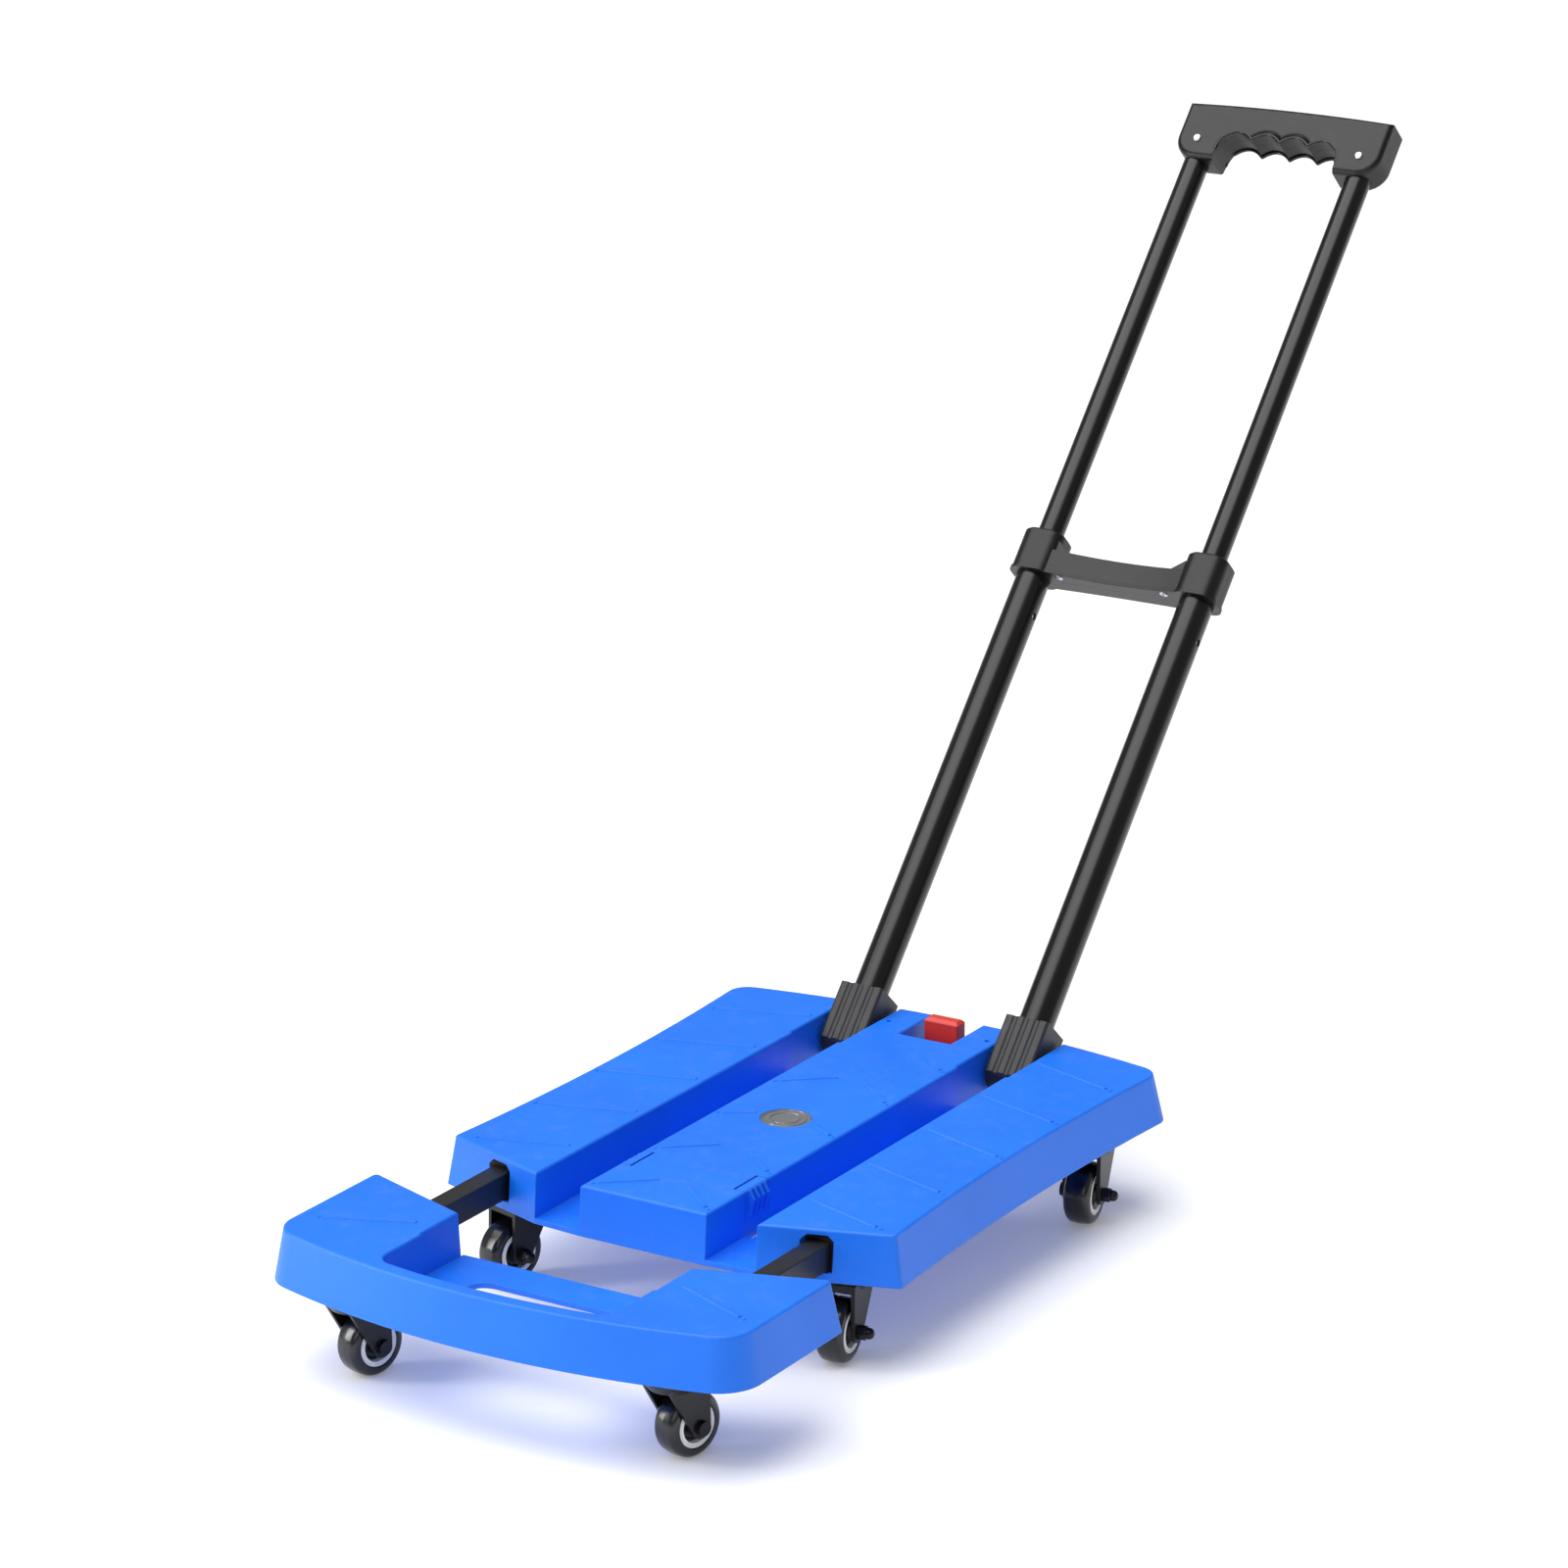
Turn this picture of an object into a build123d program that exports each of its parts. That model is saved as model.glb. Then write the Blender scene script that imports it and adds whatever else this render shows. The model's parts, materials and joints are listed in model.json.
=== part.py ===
from build123d import *
import os
from math import cos, radians, sin

# Folding platform cart, in millimetres.
# +X is across the cart, -Y is the end with the pull-out extension, +Y the handle end,
# +Z is up and the floor is z = 0. While it is being modelled, y = 0 is the middle of the
# main deck; write_nodes() moves everything so that y = 0 is the middle of the whole cart.

# ---- driving dimensions: wheels and casters ----
WHEEL_R = 25.0
TYRE_W = 22.0
TYRE_SHOULDER_R = 5.0
HUB_R = 17.0
HUB_RING_T = 3.6
HUB_BOSS_R = 6.5
TYRE_TOP_CLEAR = 6.4
HUB_WEB_T = 6.0
CASTER_TRAIL = 14.0
AXLE_R = 3.0
AXLE_CLEAR = 0.05
CAP_NUT_L = 12.0
CAP_NUT_R = 5.5
BOLT_HEAD_R = 5.5
BOLT_HEAD_T = 3.5
FORK_LEG_T = 3.2
FORK_SIDE_CLEAR = 1.3
FORK_AXLE_R = 8.5
CROWN_R = 23.5
CROWN_FOOT_R = 17.5
CROWN_T = 10.5
RACE_GAP = 0.6
PLATE_X, PLATE_Y, PLATE_T = 48.0, 56.0, 2.5
PLATE_HOLES = (18.0, 22.0)
SWIVEL_PIN_R = 4.0
SWIVEL_HEAD_R = 8.0
SWIVEL_HEAD_T = 2.5
RUN_CLEAR = 0.08
CASTER_SCREW_R = 2.0
CASTER_SCREW_HEAD_R = 3.5
CASTER_SCREW_HEAD_T = 2.2
CASTER_SCREW_L = 7.0
MID_CASTER = (144.0, -178.0)
REAR_CASTER = (164.0, 156.0)
FRONT_CASTER = (138.0, -405.0)

# ---- driving dimensions: deck ----
DECK_BOTTOM = 2 * WHEEL_R + TYRE_TOP_CLEAR + CROWN_T + RACE_GAP + PLATE_T
DECK_T = 39.5
DECK_FLOOR_T = 4.0
SKIN_T = 3.5
CENTRE_HALF_W = 55.5
POLE_SIDE_ROOM = 6.5
FRONT_HALF_W = 195.0
WAIST_HALF_W = 187.0
REAR_HALF_W = 196.0
CENTRE_FRONT_Y = -231.0
STRIP_FRONT_INNER_Y = -228.0
STRIP_FRONT_OUTER_Y = -194.5
REAR_MID_Y = 231.0
REAR_CORNER_Y = 209.0
SIDE_DRAFT = 6.6
FRONT_DRAFT = 3.0
REAR_CORNER_R = 18.0
FRONT_CORNER_R = 4.0
TOP_EDGE_R = 2.0
HINGE_BAY_FRONT_Y = 136.0
HINGE_BAY_EXTRA = 2.0
WINDOW_MARGIN = 1.0
RIB_T = 3.0
PAD_CLEAR = 3.0
NOTCH_HALF_W = 23.4
NOTCH_FRONT_Y = 178.0
BADGE_Y = -31.5
BADGE_R = 19.6
BADGE_T = 2.4
BADGE_CLEAR = 0.4
PIN_SCREW_X, PIN_SCREW_R = 45.4, 2.2
PIN_SCREW_BEHIND, PIN_SCREW_DEEP = 6.0, 12.0
CLIP_FRONT_Y, CLIP_REAR_Y = -178.0, -145.0
CLIP_T = 8.5
CLIP_SLOT = 2.0
CLIP_FOOT_Z = DECK_BOTTOM + 14.0
CLIP_RIBS = 4
CLIP_BULGE = 4.5

# ---- driving dimensions: slide and extension ----
TUBE_X = 140.0
TUBE_W, TUBE_H, TUBE_WALL = 18.0, 21.0, 1.5
TUBE_BOTTOM = DECK_BOTTOM + 8.5
TUBE_CLEAR = 0.3
GUIDE_WALL = 2.7
GUIDE_ARCH = 4.5
GUIDE_SETBACK = 3.0
GUIDE_REAR_Y = -100.0
STOP_T = 4.0
STOP_CAP_T = 1.5
STOP_CLEAR = 1.0
STOP_PLUG_L = 12.0
SLIDE_TRAVEL = 82.0
PULL_OUT = 95.0
EXT_HALF_W = 200.0
EXT_ARC_END_X, EXT_ARC_END_Y = 184.0, -421.0
EXT_FRONT_Y = -449.0
EXT_CORNER_R = 28.0
BLOCK_INSET = 4.5
BLOCK_STEP_Y, BLOCK_STEP = -372.0, 2.0
BAR_T = 13.0
RECESS_CORNER_R = 15.0
RECESS_FLOOR_BACK = 3.0
TUBE_SEAT_Y = -408.0
HAND_SLOT_HALF_W = 64.0
HAND_SLOT_REAR_Y, HAND_SLOT_FRONT_Y = -352.0, -395.0
HAND_SLOT_R = 14.0
TUBE_SCREW_Y = -345.0

# ---- driving dimensions: handle ----
LEAN = 42.4
PIVOT_Y, PIVOT_Z = 193.0, DECK_BOTTOM + 20.0
HINGE_PIN_R = 4.0
HINGE_PIN_GRIP = 10.0
KNUCKLE_WALL = 13.0
COLLAR_SIDE_CLEAR = 3.5
COLLAR_FRONT_WALL, COLLAR_REAR_WALL = 3.5, 4.8
COLLAR_TOP_S = 41.0
COLLAR_FOOT_S = -9.0
COLLAR_FLUTES = 3
POLE_FOOT_S = 12.0
OUTER_POLE_R, POLE_WALL = 14.5, 1.4
OUTER_POLE_TOP_S = 466.0
POLE_GAP = 2.1
TELESCOPE_TRAVEL = 366.0
POLE_FOOT_CLEAR = 7.5
BRACE_FOOT_S, BRACE_TOP_S, BRACE_BAR_TOP_S = 430.0, 469.0, 452.0
BRACE_WALL_N, SLEEVE_WALL_X = 3.0, 4.0
SLEEVE_CORNER_R = 12.0
BRACE_LIP, BRACE_LIP_H = 1.0, 2.5
BRACE_SCREW_L = 12.0
BRACE_BOW = 5.0
BUSH_FOOT_S = 440.0
BUSH_CLEAR = 0.08
DETENT_ABOVE_FOOT, DETENT_R = 9.5, 2.4
DETENT_HIDE = 0.3
DETENT_STROKE = 2.0
FOOT_RING_ABOVE_FOOT, FOOT_RING_L = 14.5, 14.0
GRIP_FOOT_S, GRIP_TOP_S = 838.0, 894.0
GRIP_EAR_HALF_W = 19.5
GRIP_WALL_N = 4.0
GRIP_CORNER_R = 20.0
FINGER_S, FINGER_DEPTH, FINGER_PITCH = 867.0, 6.5, 26.4
FINGERS = 4
GRIP_SCREW_S, GRIP_SCREW_R = 856.0, 3.6
BUTTON_HALF_X, BUTTON_HALF_N = 17.0, 7.0
BUTTON_STROKE = 2.2
BUTTON_PRESSED_PROUD = 0.4
BUTTON_CLEAR = 0.4
ROD_R = 2.0
ROD_Y = 5.0
YOKE_OVERHANG = 2.5
YOKE_FOOT_S, YOKE_TOP_S = 877.0, 882.0
CAVITY_FOOT_S, CAVITY_TOP_S = 872.0, 889.0
CAVITY_HALF_N = 9.0
INNER_POLE_TOP_S = 868.0
GRIP_CROWN = 2.5
GRIP_EDGE_R = 5.0
SCREW_SHANK_R = 1.6
BUSH_FLANGE_T = 2.0
BRACE_SCREW_INSET, BRACE_SCREW_Y = 27.5, -8.0

# ---- driving dimensions: folding latch ----
LATCH_HALF_W = 15.5
LATCH_FRONT_Y, LATCH_REAR_Y = 203.0, 216.0
LATCH_PROUD, LATCH_UNDER = 7.5, 13.0
LATCH_STROKE = 5.0
LOCK_BAR_R = 4.0
LOCK_BAR_Z = DECK_BOTTOM + 18.0
LOCK_SLOT_CLEAR = 0.6
SPRING_WIRE_R = 0.6

# ---- sizes that follow ----
DECK_TOP = DECK_BOTTOM + DECK_T
LATCH_TOP, LATCH_FOOT = DECK_TOP + LATCH_PROUD, DECK_BOTTOM + LATCH_UNDER
CHANNEL_W = 2 * (OUTER_POLE_R + POLE_SIDE_ROOM)
CHANNEL_FLOOR = DECK_BOTTOM + DECK_FLOOR_T
CHANNEL_OUT_X = CENTRE_HALF_W + CHANNEL_W
POLE_X = CENTRE_HALF_W + CHANNEL_W / 2
BLOCK_INNER_X = CHANNEL_OUT_X + BLOCK_INSET
SLEEVE_HALF_W, BRACE_HALF_N = OUTER_POLE_R + SLEEVE_WALL_X, OUTER_POLE_R + BRACE_WALL_N
COLLAR_HALF_W = CHANNEL_W / 2 + HINGE_BAY_EXTRA - COLLAR_SIDE_CLEAR
COLLAR_FRONT_N, COLLAR_REAR_N = OUTER_POLE_R + COLLAR_FRONT_WALL, OUTER_POLE_R + COLLAR_REAR_WALL
KNUCKLE_R = HINGE_PIN_R + KNUCKLE_WALL
GRIP_HALF_W, GRIP_EAR_IN_X = POLE_X + GRIP_EAR_HALF_W, POLE_X - GRIP_EAR_HALF_W
YOKE_HALF_X = POLE_X + YOKE_OVERHANG
BRACE_SCREW_X = POLE_X - BRACE_SCREW_INSET
PLATE_BOTTOM = DECK_BOTTOM - PLATE_T
CROWN_TOP = PLATE_BOTTOM - RACE_GAP
CROWN_BOTTOM = CROWN_TOP - CROWN_T
FORK_IN_X = TYRE_W / 2 + FORK_SIDE_CLEAR
FORK_OUT_X = FORK_IN_X + FORK_LEG_T
TUBE_TOP = TUBE_BOTTOM + TUBE_H
TUBE_MID_Z = TUBE_BOTTOM + TUBE_H / 2
TUBE_REAR_Y = GUIDE_REAR_Y + TUBE_CLEAR + STOP_T
TUNNEL_REAR_Y = TUBE_REAR_Y + STOP_CAP_T + SLIDE_TRAVEL + STOP_CLEAR
BLOCK_REAR_Y = STRIP_FRONT_INNER_Y - PULL_OUT
STRIP_SLOPE = (STRIP_FRONT_OUTER_Y - STRIP_FRONT_INNER_Y) / (FRONT_HALF_W - CHANNEL_OUT_X)
INNER_POLE_FOOT_S = POLE_FOOT_S + POLE_FOOT_CLEAR + TELESCOPE_TRAVEL
DETENT_S = INNER_POLE_FOOT_S + DETENT_ABOVE_FOOT
FOOT_RING_S = (INNER_POLE_FOOT_S + FOOT_RING_ABOVE_FOOT,
               INNER_POLE_FOOT_S + FOOT_RING_ABOVE_FOOT + FOOT_RING_L)
BUTTON_PROUD = BUTTON_STROKE + BUTTON_PRESSED_PROUD
OUTER_POLE_BORE = OUTER_POLE_R - POLE_WALL
INNER_POLE_R = OUTER_POLE_BORE - POLE_GAP
INNER_POLE_BORE = INNER_POLE_R - POLE_WALL
GRIP_HALF_N = INNER_POLE_R + GRIP_WALL_N
HEADINGS = {
    "front_left": 166.0, "front_right": 166.0,
    "mid_left": -15.0, "mid_right": 8.0,
    "rear_left": -6.0, "rear_right": 10.0,
}
CASTER_PLACES = {
    "front_left": (-FRONT_CASTER[0], FRONT_CASTER[1]), "front_right": FRONT_CASTER,
    "mid_left": (-MID_CASTER[0], MID_CASTER[1]), "mid_right": MID_CASTER,
    "rear_left": (-REAR_CASTER[0], REAR_CASTER[1]), "rear_right": REAR_CASTER,
}

nodes = {}


def box(x0, x1, y0, y1, z0, z1):
    """A block between two corners."""
    return Pos((x0 + x1) / 2, (y0 + y1) / 2, (z0 + z1) / 2) * Box(x1 - x0, y1 - y0, z1 - z0)


def rod(radius, start, end):
    """A cylinder of this radius from one point to another."""
    a, b = Vector(*start), Vector(*end)
    return Solid.make_cylinder(radius, (b - a).length, Plane(origin=a, z_dir=b - a))


def both(shape):
    """The shape and its mirror image across the middle of the cart."""
    return [shape, mirror(shape, about=Plane.YZ)]


def strip_front_y(x):
    """Where the slanted front of a side strip lies at this distance from the middle."""
    return STRIP_FRONT_INNER_Y + STRIP_SLOPE * (abs(x) - CHANNEL_OUT_X)


def outline(z, points, arcs, radii):
    """A face at height z: a polyline, then three-point arcs back to its start, rounded."""
    with BuildSketch(Plane.XY.offset(z)) as sketch:
        with BuildLine():
            Polyline(*points)
            for start, middle, end in arcs:
                ThreePointArc(start, middle, end)
        make_face()
        for (x, y), radius in radii:
            corner = sketch.vertices().sort_by_distance((x, y, z))[0]
            fillet(corner, radius)
    return sketch.sketch


# ---------------------------------------------------------------- main deck

def deck_outline(z, side, front, rear):
    """The deck's plan at height z, drawn out by the drafts given for its edges."""
    fx, fy = FRONT_HALF_W + side, STRIP_FRONT_OUTER_Y - front
    rx, ry = REAR_HALF_W + side, REAR_CORNER_Y + rear
    inner_y, mid_y = STRIP_FRONT_INNER_Y - front, CENTRE_FRONT_Y - front
    points = [(-fx, fy), (-CHANNEL_OUT_X, inner_y), (-CENTRE_HALF_W, mid_y),
              (CENTRE_HALF_W, mid_y), (CHANNEL_OUT_X, inner_y), (fx, fy)]
    waist = WAIST_HALF_W + side
    arcs = [((fx, fy), (waist, 0), (rx, ry)),
            ((rx, ry), (0, REAR_MID_Y + rear), (-rx, ry)),
            ((-rx, ry), (-waist, 0), (-fx, fy))]
    radii = [((rx, ry), REAR_CORNER_R), ((-rx, ry), REAR_CORNER_R),
             ((fx, fy), FRONT_CORNER_R), ((-fx, fy), FRONT_CORNER_R)]
    return outline(z, points, arcs, radii)


def tunnel_profile(y, wall):
    """The arched section round a slide tube, in the XZ plane at y, for the right side."""
    half = TUBE_W / 2 + TUBE_CLEAR + wall
    foot, shoulder = TUBE_BOTTOM - TUBE_CLEAR - wall / 2, TUBE_TOP + TUBE_CLEAR + wall / 3
    crown = shoulder + GUIDE_ARCH
    points = [(-half, foot), (half, foot), (half, shoulder), (half - GUIDE_ARCH, crown),
              (GUIDE_ARCH - half, crown), (-half, shoulder)]
    with BuildSketch(Plane(origin=(TUBE_X, y, 0), x_dir=(1, 0, 0), z_dir=(0, -1, 0))) as sketch:
        with BuildLine():
            Polyline(*points, close=True)
        make_face()
    return sketch.sketch


def tunnel(y0, y1, wall):
    """The arched passage or sleeve from y0 back to y1."""
    return extrude(tunnel_profile(y1, wall), y1 - y0)


def underside_pockets():
    """Moulding pockets that leave the skin, the ribs and the pads that carry the casters."""
    cells = []
    tube_in, tube_out = (TUBE_X - TUBE_W / 2 - TUBE_CLEAR - GUIDE_WALL - RIB_T,
                         TUBE_X + TUBE_W / 2 + TUBE_CLEAR + GUIDE_WALL + RIB_T)
    rows = [(-140.0, -82.0), (-79.0, -20.0), (-17.0, 42.0), (45.0, 112.0)]
    for y0, y1 in rows:
        cells.append((CHANNEL_OUT_X + RIB_T, tube_in, y0, y1))
        cells.append((tube_out, WAIST_HALF_W - RIB_T - 1, y0, y1))
    for x0, x1, y0, y1 in cells[:]:
        cells.append((-x1, -x0, y0, y1))
    centre_rows = [(-226.0, -184.0), (-140.0, -60.0), (-3.0, 60.0), (63.0, 126.0), (129.0, 172.0)]
    for y0, y1 in centre_rows:
        for x0 in (-CENTRE_HALF_W + RIB_T + 1, RIB_T / 2):
            cells.append((x0, x0 + CENTRE_HALF_W - 1.5 * RIB_T - 1, y0, y1))
    top = DECK_TOP - SKIN_T
    return [box(x0, x1, y0, y1, DECK_BOTTOM - 1, top) for x0, x1, y0, y1 in cells]


def clip_tab():
    """Cutters and ribs of the springy clip that holds a folded pole, on the right wall."""
    inner = CENTRE_HALF_W - CLIP_T
    cut = [box(inner - CLIP_SLOT, inner, CLIP_FRONT_Y, CLIP_REAR_Y, CLIP_FOOT_Z, DECK_TOP + 1)]
    for y in (CLIP_FRONT_Y, CLIP_REAR_Y - CLIP_SLOT / 2):
        cut.append(box(inner - CLIP_SLOT, CENTRE_HALF_W + 1, y, y + CLIP_SLOT / 2,
                       CLIP_FOOT_Z, DECK_TOP + 1))
    cut.append(box(CENTRE_HALF_W, CENTRE_HALF_W + CLIP_BULGE + 2, CLIP_FRONT_Y, CLIP_REAR_Y,
                   DECK_BOTTOM - 1, CHANNEL_FLOOR + 1))
    ribs = []
    pitch = (CLIP_REAR_Y - CLIP_FRONT_Y) / (CLIP_RIBS + 1)
    for i in range(CLIP_RIBS):
        y = CLIP_FRONT_Y + (i + 1) * pitch
        with BuildPart() as rib:
            with BuildSketch(Plane.XZ.offset(-y - 1.5)):
                with BuildLine():
                    Polyline((CENTRE_HALF_W - 1, CLIP_FOOT_Z + 4), (CENTRE_HALF_W + 1, CLIP_FOOT_Z + 4),
                             (CENTRE_HALF_W + CLIP_BULGE, DECK_TOP - 8),
                             (CENTRE_HALF_W + 0.5, DECK_TOP - 1), (CENTRE_HALF_W - 1, DECK_TOP - 1),
                             close=True)
                make_face()
            extrude(amount=3.0)
        ribs.append(rib.part)
    return cut, ribs


def caster_hardware_cuts(x, y):
    """What a caster plate needs in the moulding above it: pin head recess and screw holes."""
    cut = [rod(SWIVEL_HEAD_R + 1, (x, y, DECK_BOTTOM - 1), (x, y, DECK_BOTTOM + SWIVEL_HEAD_T + 0.5))]
    for sx in (-1, 1):
        for sy in (-1, 1):
            hx, hy = x + sx * PLATE_HOLES[0], y + sy * PLATE_HOLES[1]
            cut.append(rod(CASTER_SCREW_R, (hx, hy, DECK_BOTTOM - 1),
                           (hx, hy, PLATE_BOTTOM + CASTER_SCREW_L)))
    return cut


def make_main_deck():
    """The three-strip platform with its two pole channels, hinge bays and latch notch."""
    deck = loft([deck_outline(DECK_BOTTOM, SIDE_DRAFT, FRONT_DRAFT, SIDE_DRAFT),
                 deck_outline(DECK_TOP, 0, 0, 0)], ruled=True)
    far = 2 * REAR_MID_Y
    for channel in both(box(CENTRE_HALF_W, CHANNEL_OUT_X, -far, far, CHANNEL_FLOOR, DECK_TOP + 1)):
        deck -= channel
    bay = box(CENTRE_HALF_W - HINGE_BAY_EXTRA, CHANNEL_OUT_X + HINGE_BAY_EXTRA,
              HINGE_BAY_FRONT_Y, far, CHANNEL_FLOOR, DECK_TOP + 1)
    for shape in both(bay):
        deck -= shape
    deck -= box(-NOTCH_HALF_W, NOTCH_HALF_W, NOTCH_FRONT_Y, far, CHANNEL_FLOOR, DECK_TOP + 1)
    rim = deck.edges().filter_by_position(Axis.Z, DECK_TOP - 0.01, DECK_TOP + 0.01)
    deck = fillet(rim, TOP_EDGE_R)

    cuts = underside_pockets()
    cuts.append(rod(BADGE_R + BADGE_CLEAR, (0, BADGE_Y, DECK_TOP - BADGE_T), (0, BADGE_Y, DECK_TOP + 1)))
    window = box(CENTRE_HALF_W - HINGE_BAY_EXTRA + WINDOW_MARGIN, CHANNEL_OUT_X + HINGE_BAY_EXTRA
                 - WINDOW_MARGIN, HINGE_BAY_FRONT_Y + 4, PIVOT_Y + 24, DECK_BOTTOM - 1, CHANNEL_FLOOR + 1)
    passage = tunnel(strip_front_y(TUBE_X) - 20, TUNNEL_REAR_Y, GUIDE_WALL)
    pin = rod(HINGE_PIN_R, (CENTRE_HALF_W - HINGE_PIN_GRIP, PIVOT_Y, PIVOT_Z),
              (CHANNEL_OUT_X + HINGE_PIN_GRIP, PIVOT_Y, PIVOT_Z))
    screw_y = PIVOT_Y + PIN_SCREW_BEHIND
    screw = rod(PIN_SCREW_R, (PIN_SCREW_X, screw_y, DECK_TOP - PIN_SCREW_DEEP),
                (PIN_SCREW_X, screw_y, DECK_TOP + 1))
    clip_cut, clip_ribs = clip_tab()
    for shape in [window, passage, pin, screw] + clip_cut:
        cuts += both(shape)
    for name, (x, y) in CASTER_PLACES.items():
        if not name.startswith("front"):
            cuts += caster_hardware_cuts(x, y)
    mid_y = (LATCH_FRONT_Y + LATCH_REAR_Y) / 2
    slot = LOCK_BAR_R + LOCK_SLOT_CLEAR
    cuts.append(box(-CENTRE_HALF_W - 1, CENTRE_HALF_W + 1, mid_y - slot, mid_y + slot,
                    LOCK_BAR_Z - slot - LATCH_STROKE, LOCK_BAR_Z + slot))
    deck = deck - cuts
    for rib in clip_ribs:
        deck = deck + both(rib)
    return deck


def make_slide_guides():
    """Plastic sleeves in the side strips that the slide tubes run through."""
    front = strip_front_y(TUBE_X) + GUIDE_SETBACK
    bore = box(TUBE_X - TUBE_W / 2 - TUBE_CLEAR, TUBE_X + TUBE_W / 2 + TUBE_CLEAR, front - 20,
               GUIDE_REAR_Y + 1, TUBE_BOTTOM - TUBE_CLEAR, TUBE_TOP + TUBE_CLEAR)
    return both(tunnel(front, GUIDE_REAR_Y, GUIDE_WALL) - bore)


def make_badge():
    """A plain round badge with raised concentric rings."""
    z = DECK_TOP - BADGE_T
    badge = rod(BADGE_R, (0, BADGE_Y, z), (0, BADGE_Y, DECK_TOP - 0.2))
    for outer, inner in ((BADGE_R - 1.2, BADGE_R - 3.2), (BADGE_R - 7.0, BADGE_R - 9.0)):
        ring = rod(outer, (0, BADGE_Y, DECK_TOP - 0.8), (0, BADGE_Y, DECK_TOP + 1))
        badge = badge - (ring - rod(inner, (0, BADGE_Y, DECK_TOP - 1), (0, BADGE_Y, DECK_TOP + 1)))
    return badge


def make_hinge_pins():
    """Steel pins that carry the two collars, each across its own channel."""
    return both(rod(HINGE_PIN_R, (CENTRE_HALF_W - HINGE_PIN_GRIP, PIVOT_Y, PIVOT_Z),
                    (CHANNEL_OUT_X + HINGE_PIN_GRIP, PIVOT_Y, PIVOT_Z)))


# ---------------------------------------------------------------- extension

def extension_outline(z, out, rear):
    """The pulled-out extension's plan at height z, drawn out by its drafts."""
    side = EXT_HALF_W + out
    inner_y = BLOCK_REAR_Y + rear
    side_y = inner_y + STRIP_SLOPE * (side - BLOCK_INNER_X)
    arc_x, arc_y = EXT_ARC_END_X + out, EXT_ARC_END_Y - out
    front_y = EXT_FRONT_Y - out
    corner_y = arc_y + (side - arc_x) * (arc_y - front_y) * 2 / arc_x
    floor_y = inner_y + RECESS_FLOOR_BACK
    points = [(-side, corner_y), (-side, side_y), (-BLOCK_INNER_X, inner_y), (-BLOCK_INNER_X, floor_y),
              (BLOCK_INNER_X, floor_y), (BLOCK_INNER_X, inner_y), (side, side_y), (side, corner_y)]
    arcs = [((side, corner_y), (0, front_y), (-side, corner_y))]
    radii = [((side, corner_y), EXT_CORNER_R + out), ((-side, corner_y), EXT_CORNER_R + out),
             ((side, side_y), FRONT_CORNER_R), ((-side, side_y), FRONT_CORNER_R)]
    return outline(z, points, arcs, radii)


def recess_cutter():
    """The space between the blocks and behind the front bar, above the recess floor."""
    front_y = EXT_FRONT_Y + BAR_T
    sag = (EXT_ARC_END_Y - EXT_FRONT_Y) * (BLOCK_INNER_X / EXT_ARC_END_X) ** 2
    corner_x, corner_y = BLOCK_INNER_X - BLOCK_STEP, front_y + sag
    far = BLOCK_REAR_Y + 60
    points = [(-corner_x, corner_y), (-corner_x, BLOCK_STEP_Y), (-BLOCK_INNER_X, BLOCK_STEP_Y + BLOCK_STEP),
              (-BLOCK_INNER_X, far), (BLOCK_INNER_X, far), (BLOCK_INNER_X, BLOCK_STEP_Y + BLOCK_STEP),
              (corner_x, BLOCK_STEP_Y), (corner_x, corner_y)]
    arcs = [((corner_x, corner_y), (0, front_y), (-corner_x, corner_y))]
    radii = [((corner_x, corner_y), RECESS_CORNER_R), ((-corner_x, corner_y), RECESS_CORNER_R)]
    return extrude(outline(CHANNEL_FLOOR, points, arcs, radii), DECK_T)


def make_extension_panel():
    """The pull-out end: two side blocks, a carrying bar and a floor with a hand slot."""
    panel = loft([extension_outline(DECK_BOTTOM, SIDE_DRAFT, FRONT_DRAFT),
                  extension_outline(DECK_TOP, 0, 0)], ruled=True)
    panel = panel - recess_cutter()
    rim = panel.edges().filter_by_position(Axis.Z, DECK_TOP - 0.01, DECK_TOP + 0.01)
    panel = fillet(rim, TOP_EDGE_R)
    slot_mid = (HAND_SLOT_REAR_Y + HAND_SLOT_FRONT_Y) / 2
    slot = Pos(0, slot_mid, DECK_BOTTOM) * extrude(
        RectangleRounded(2 * HAND_SLOT_HALF_W, HAND_SLOT_REAR_Y - HAND_SLOT_FRONT_Y, HAND_SLOT_R),
        4 * DECK_FLOOR_T, both=True)
    cuts = [slot]
    seat = box(TUBE_X - TUBE_W / 2, TUBE_X + TUBE_W / 2, TUBE_SEAT_Y, BLOCK_REAR_Y + 60,
               TUBE_BOTTOM, TUBE_TOP)
    cuts += both(seat)
    cuts += both(rod(CASTER_SCREW_R, (TUBE_X, TUBE_SCREW_Y, DECK_BOTTOM - 1),
                     (TUBE_X, TUBE_SCREW_Y, TUBE_BOTTOM + 1)))
    pad_rear = FRONT_CASTER[1] + PLATE_Y / 2 + PAD_CLEAR
    inner_x, tube_in = BLOCK_INNER_X + RIB_T, TUBE_X - TUBE_W / 2 - RIB_T
    tube_out, outer_x = TUBE_X + TUBE_W / 2 + RIB_T, EXT_HALF_W - RIB_T
    rear = BLOCK_REAR_Y - RIB_T
    top = DECK_TOP - SKIN_T
    cuts += both(box(inner_x, tube_in, pad_rear, rear, DECK_BOTTOM - 1, top))
    cuts += both(box(tube_out, outer_x, pad_rear, rear, DECK_BOTTOM - 1, top))
    for side in (-1, 1):
        cuts += caster_hardware_cuts(side * FRONT_CASTER[0], FRONT_CASTER[1])
    return panel - cuts


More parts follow.
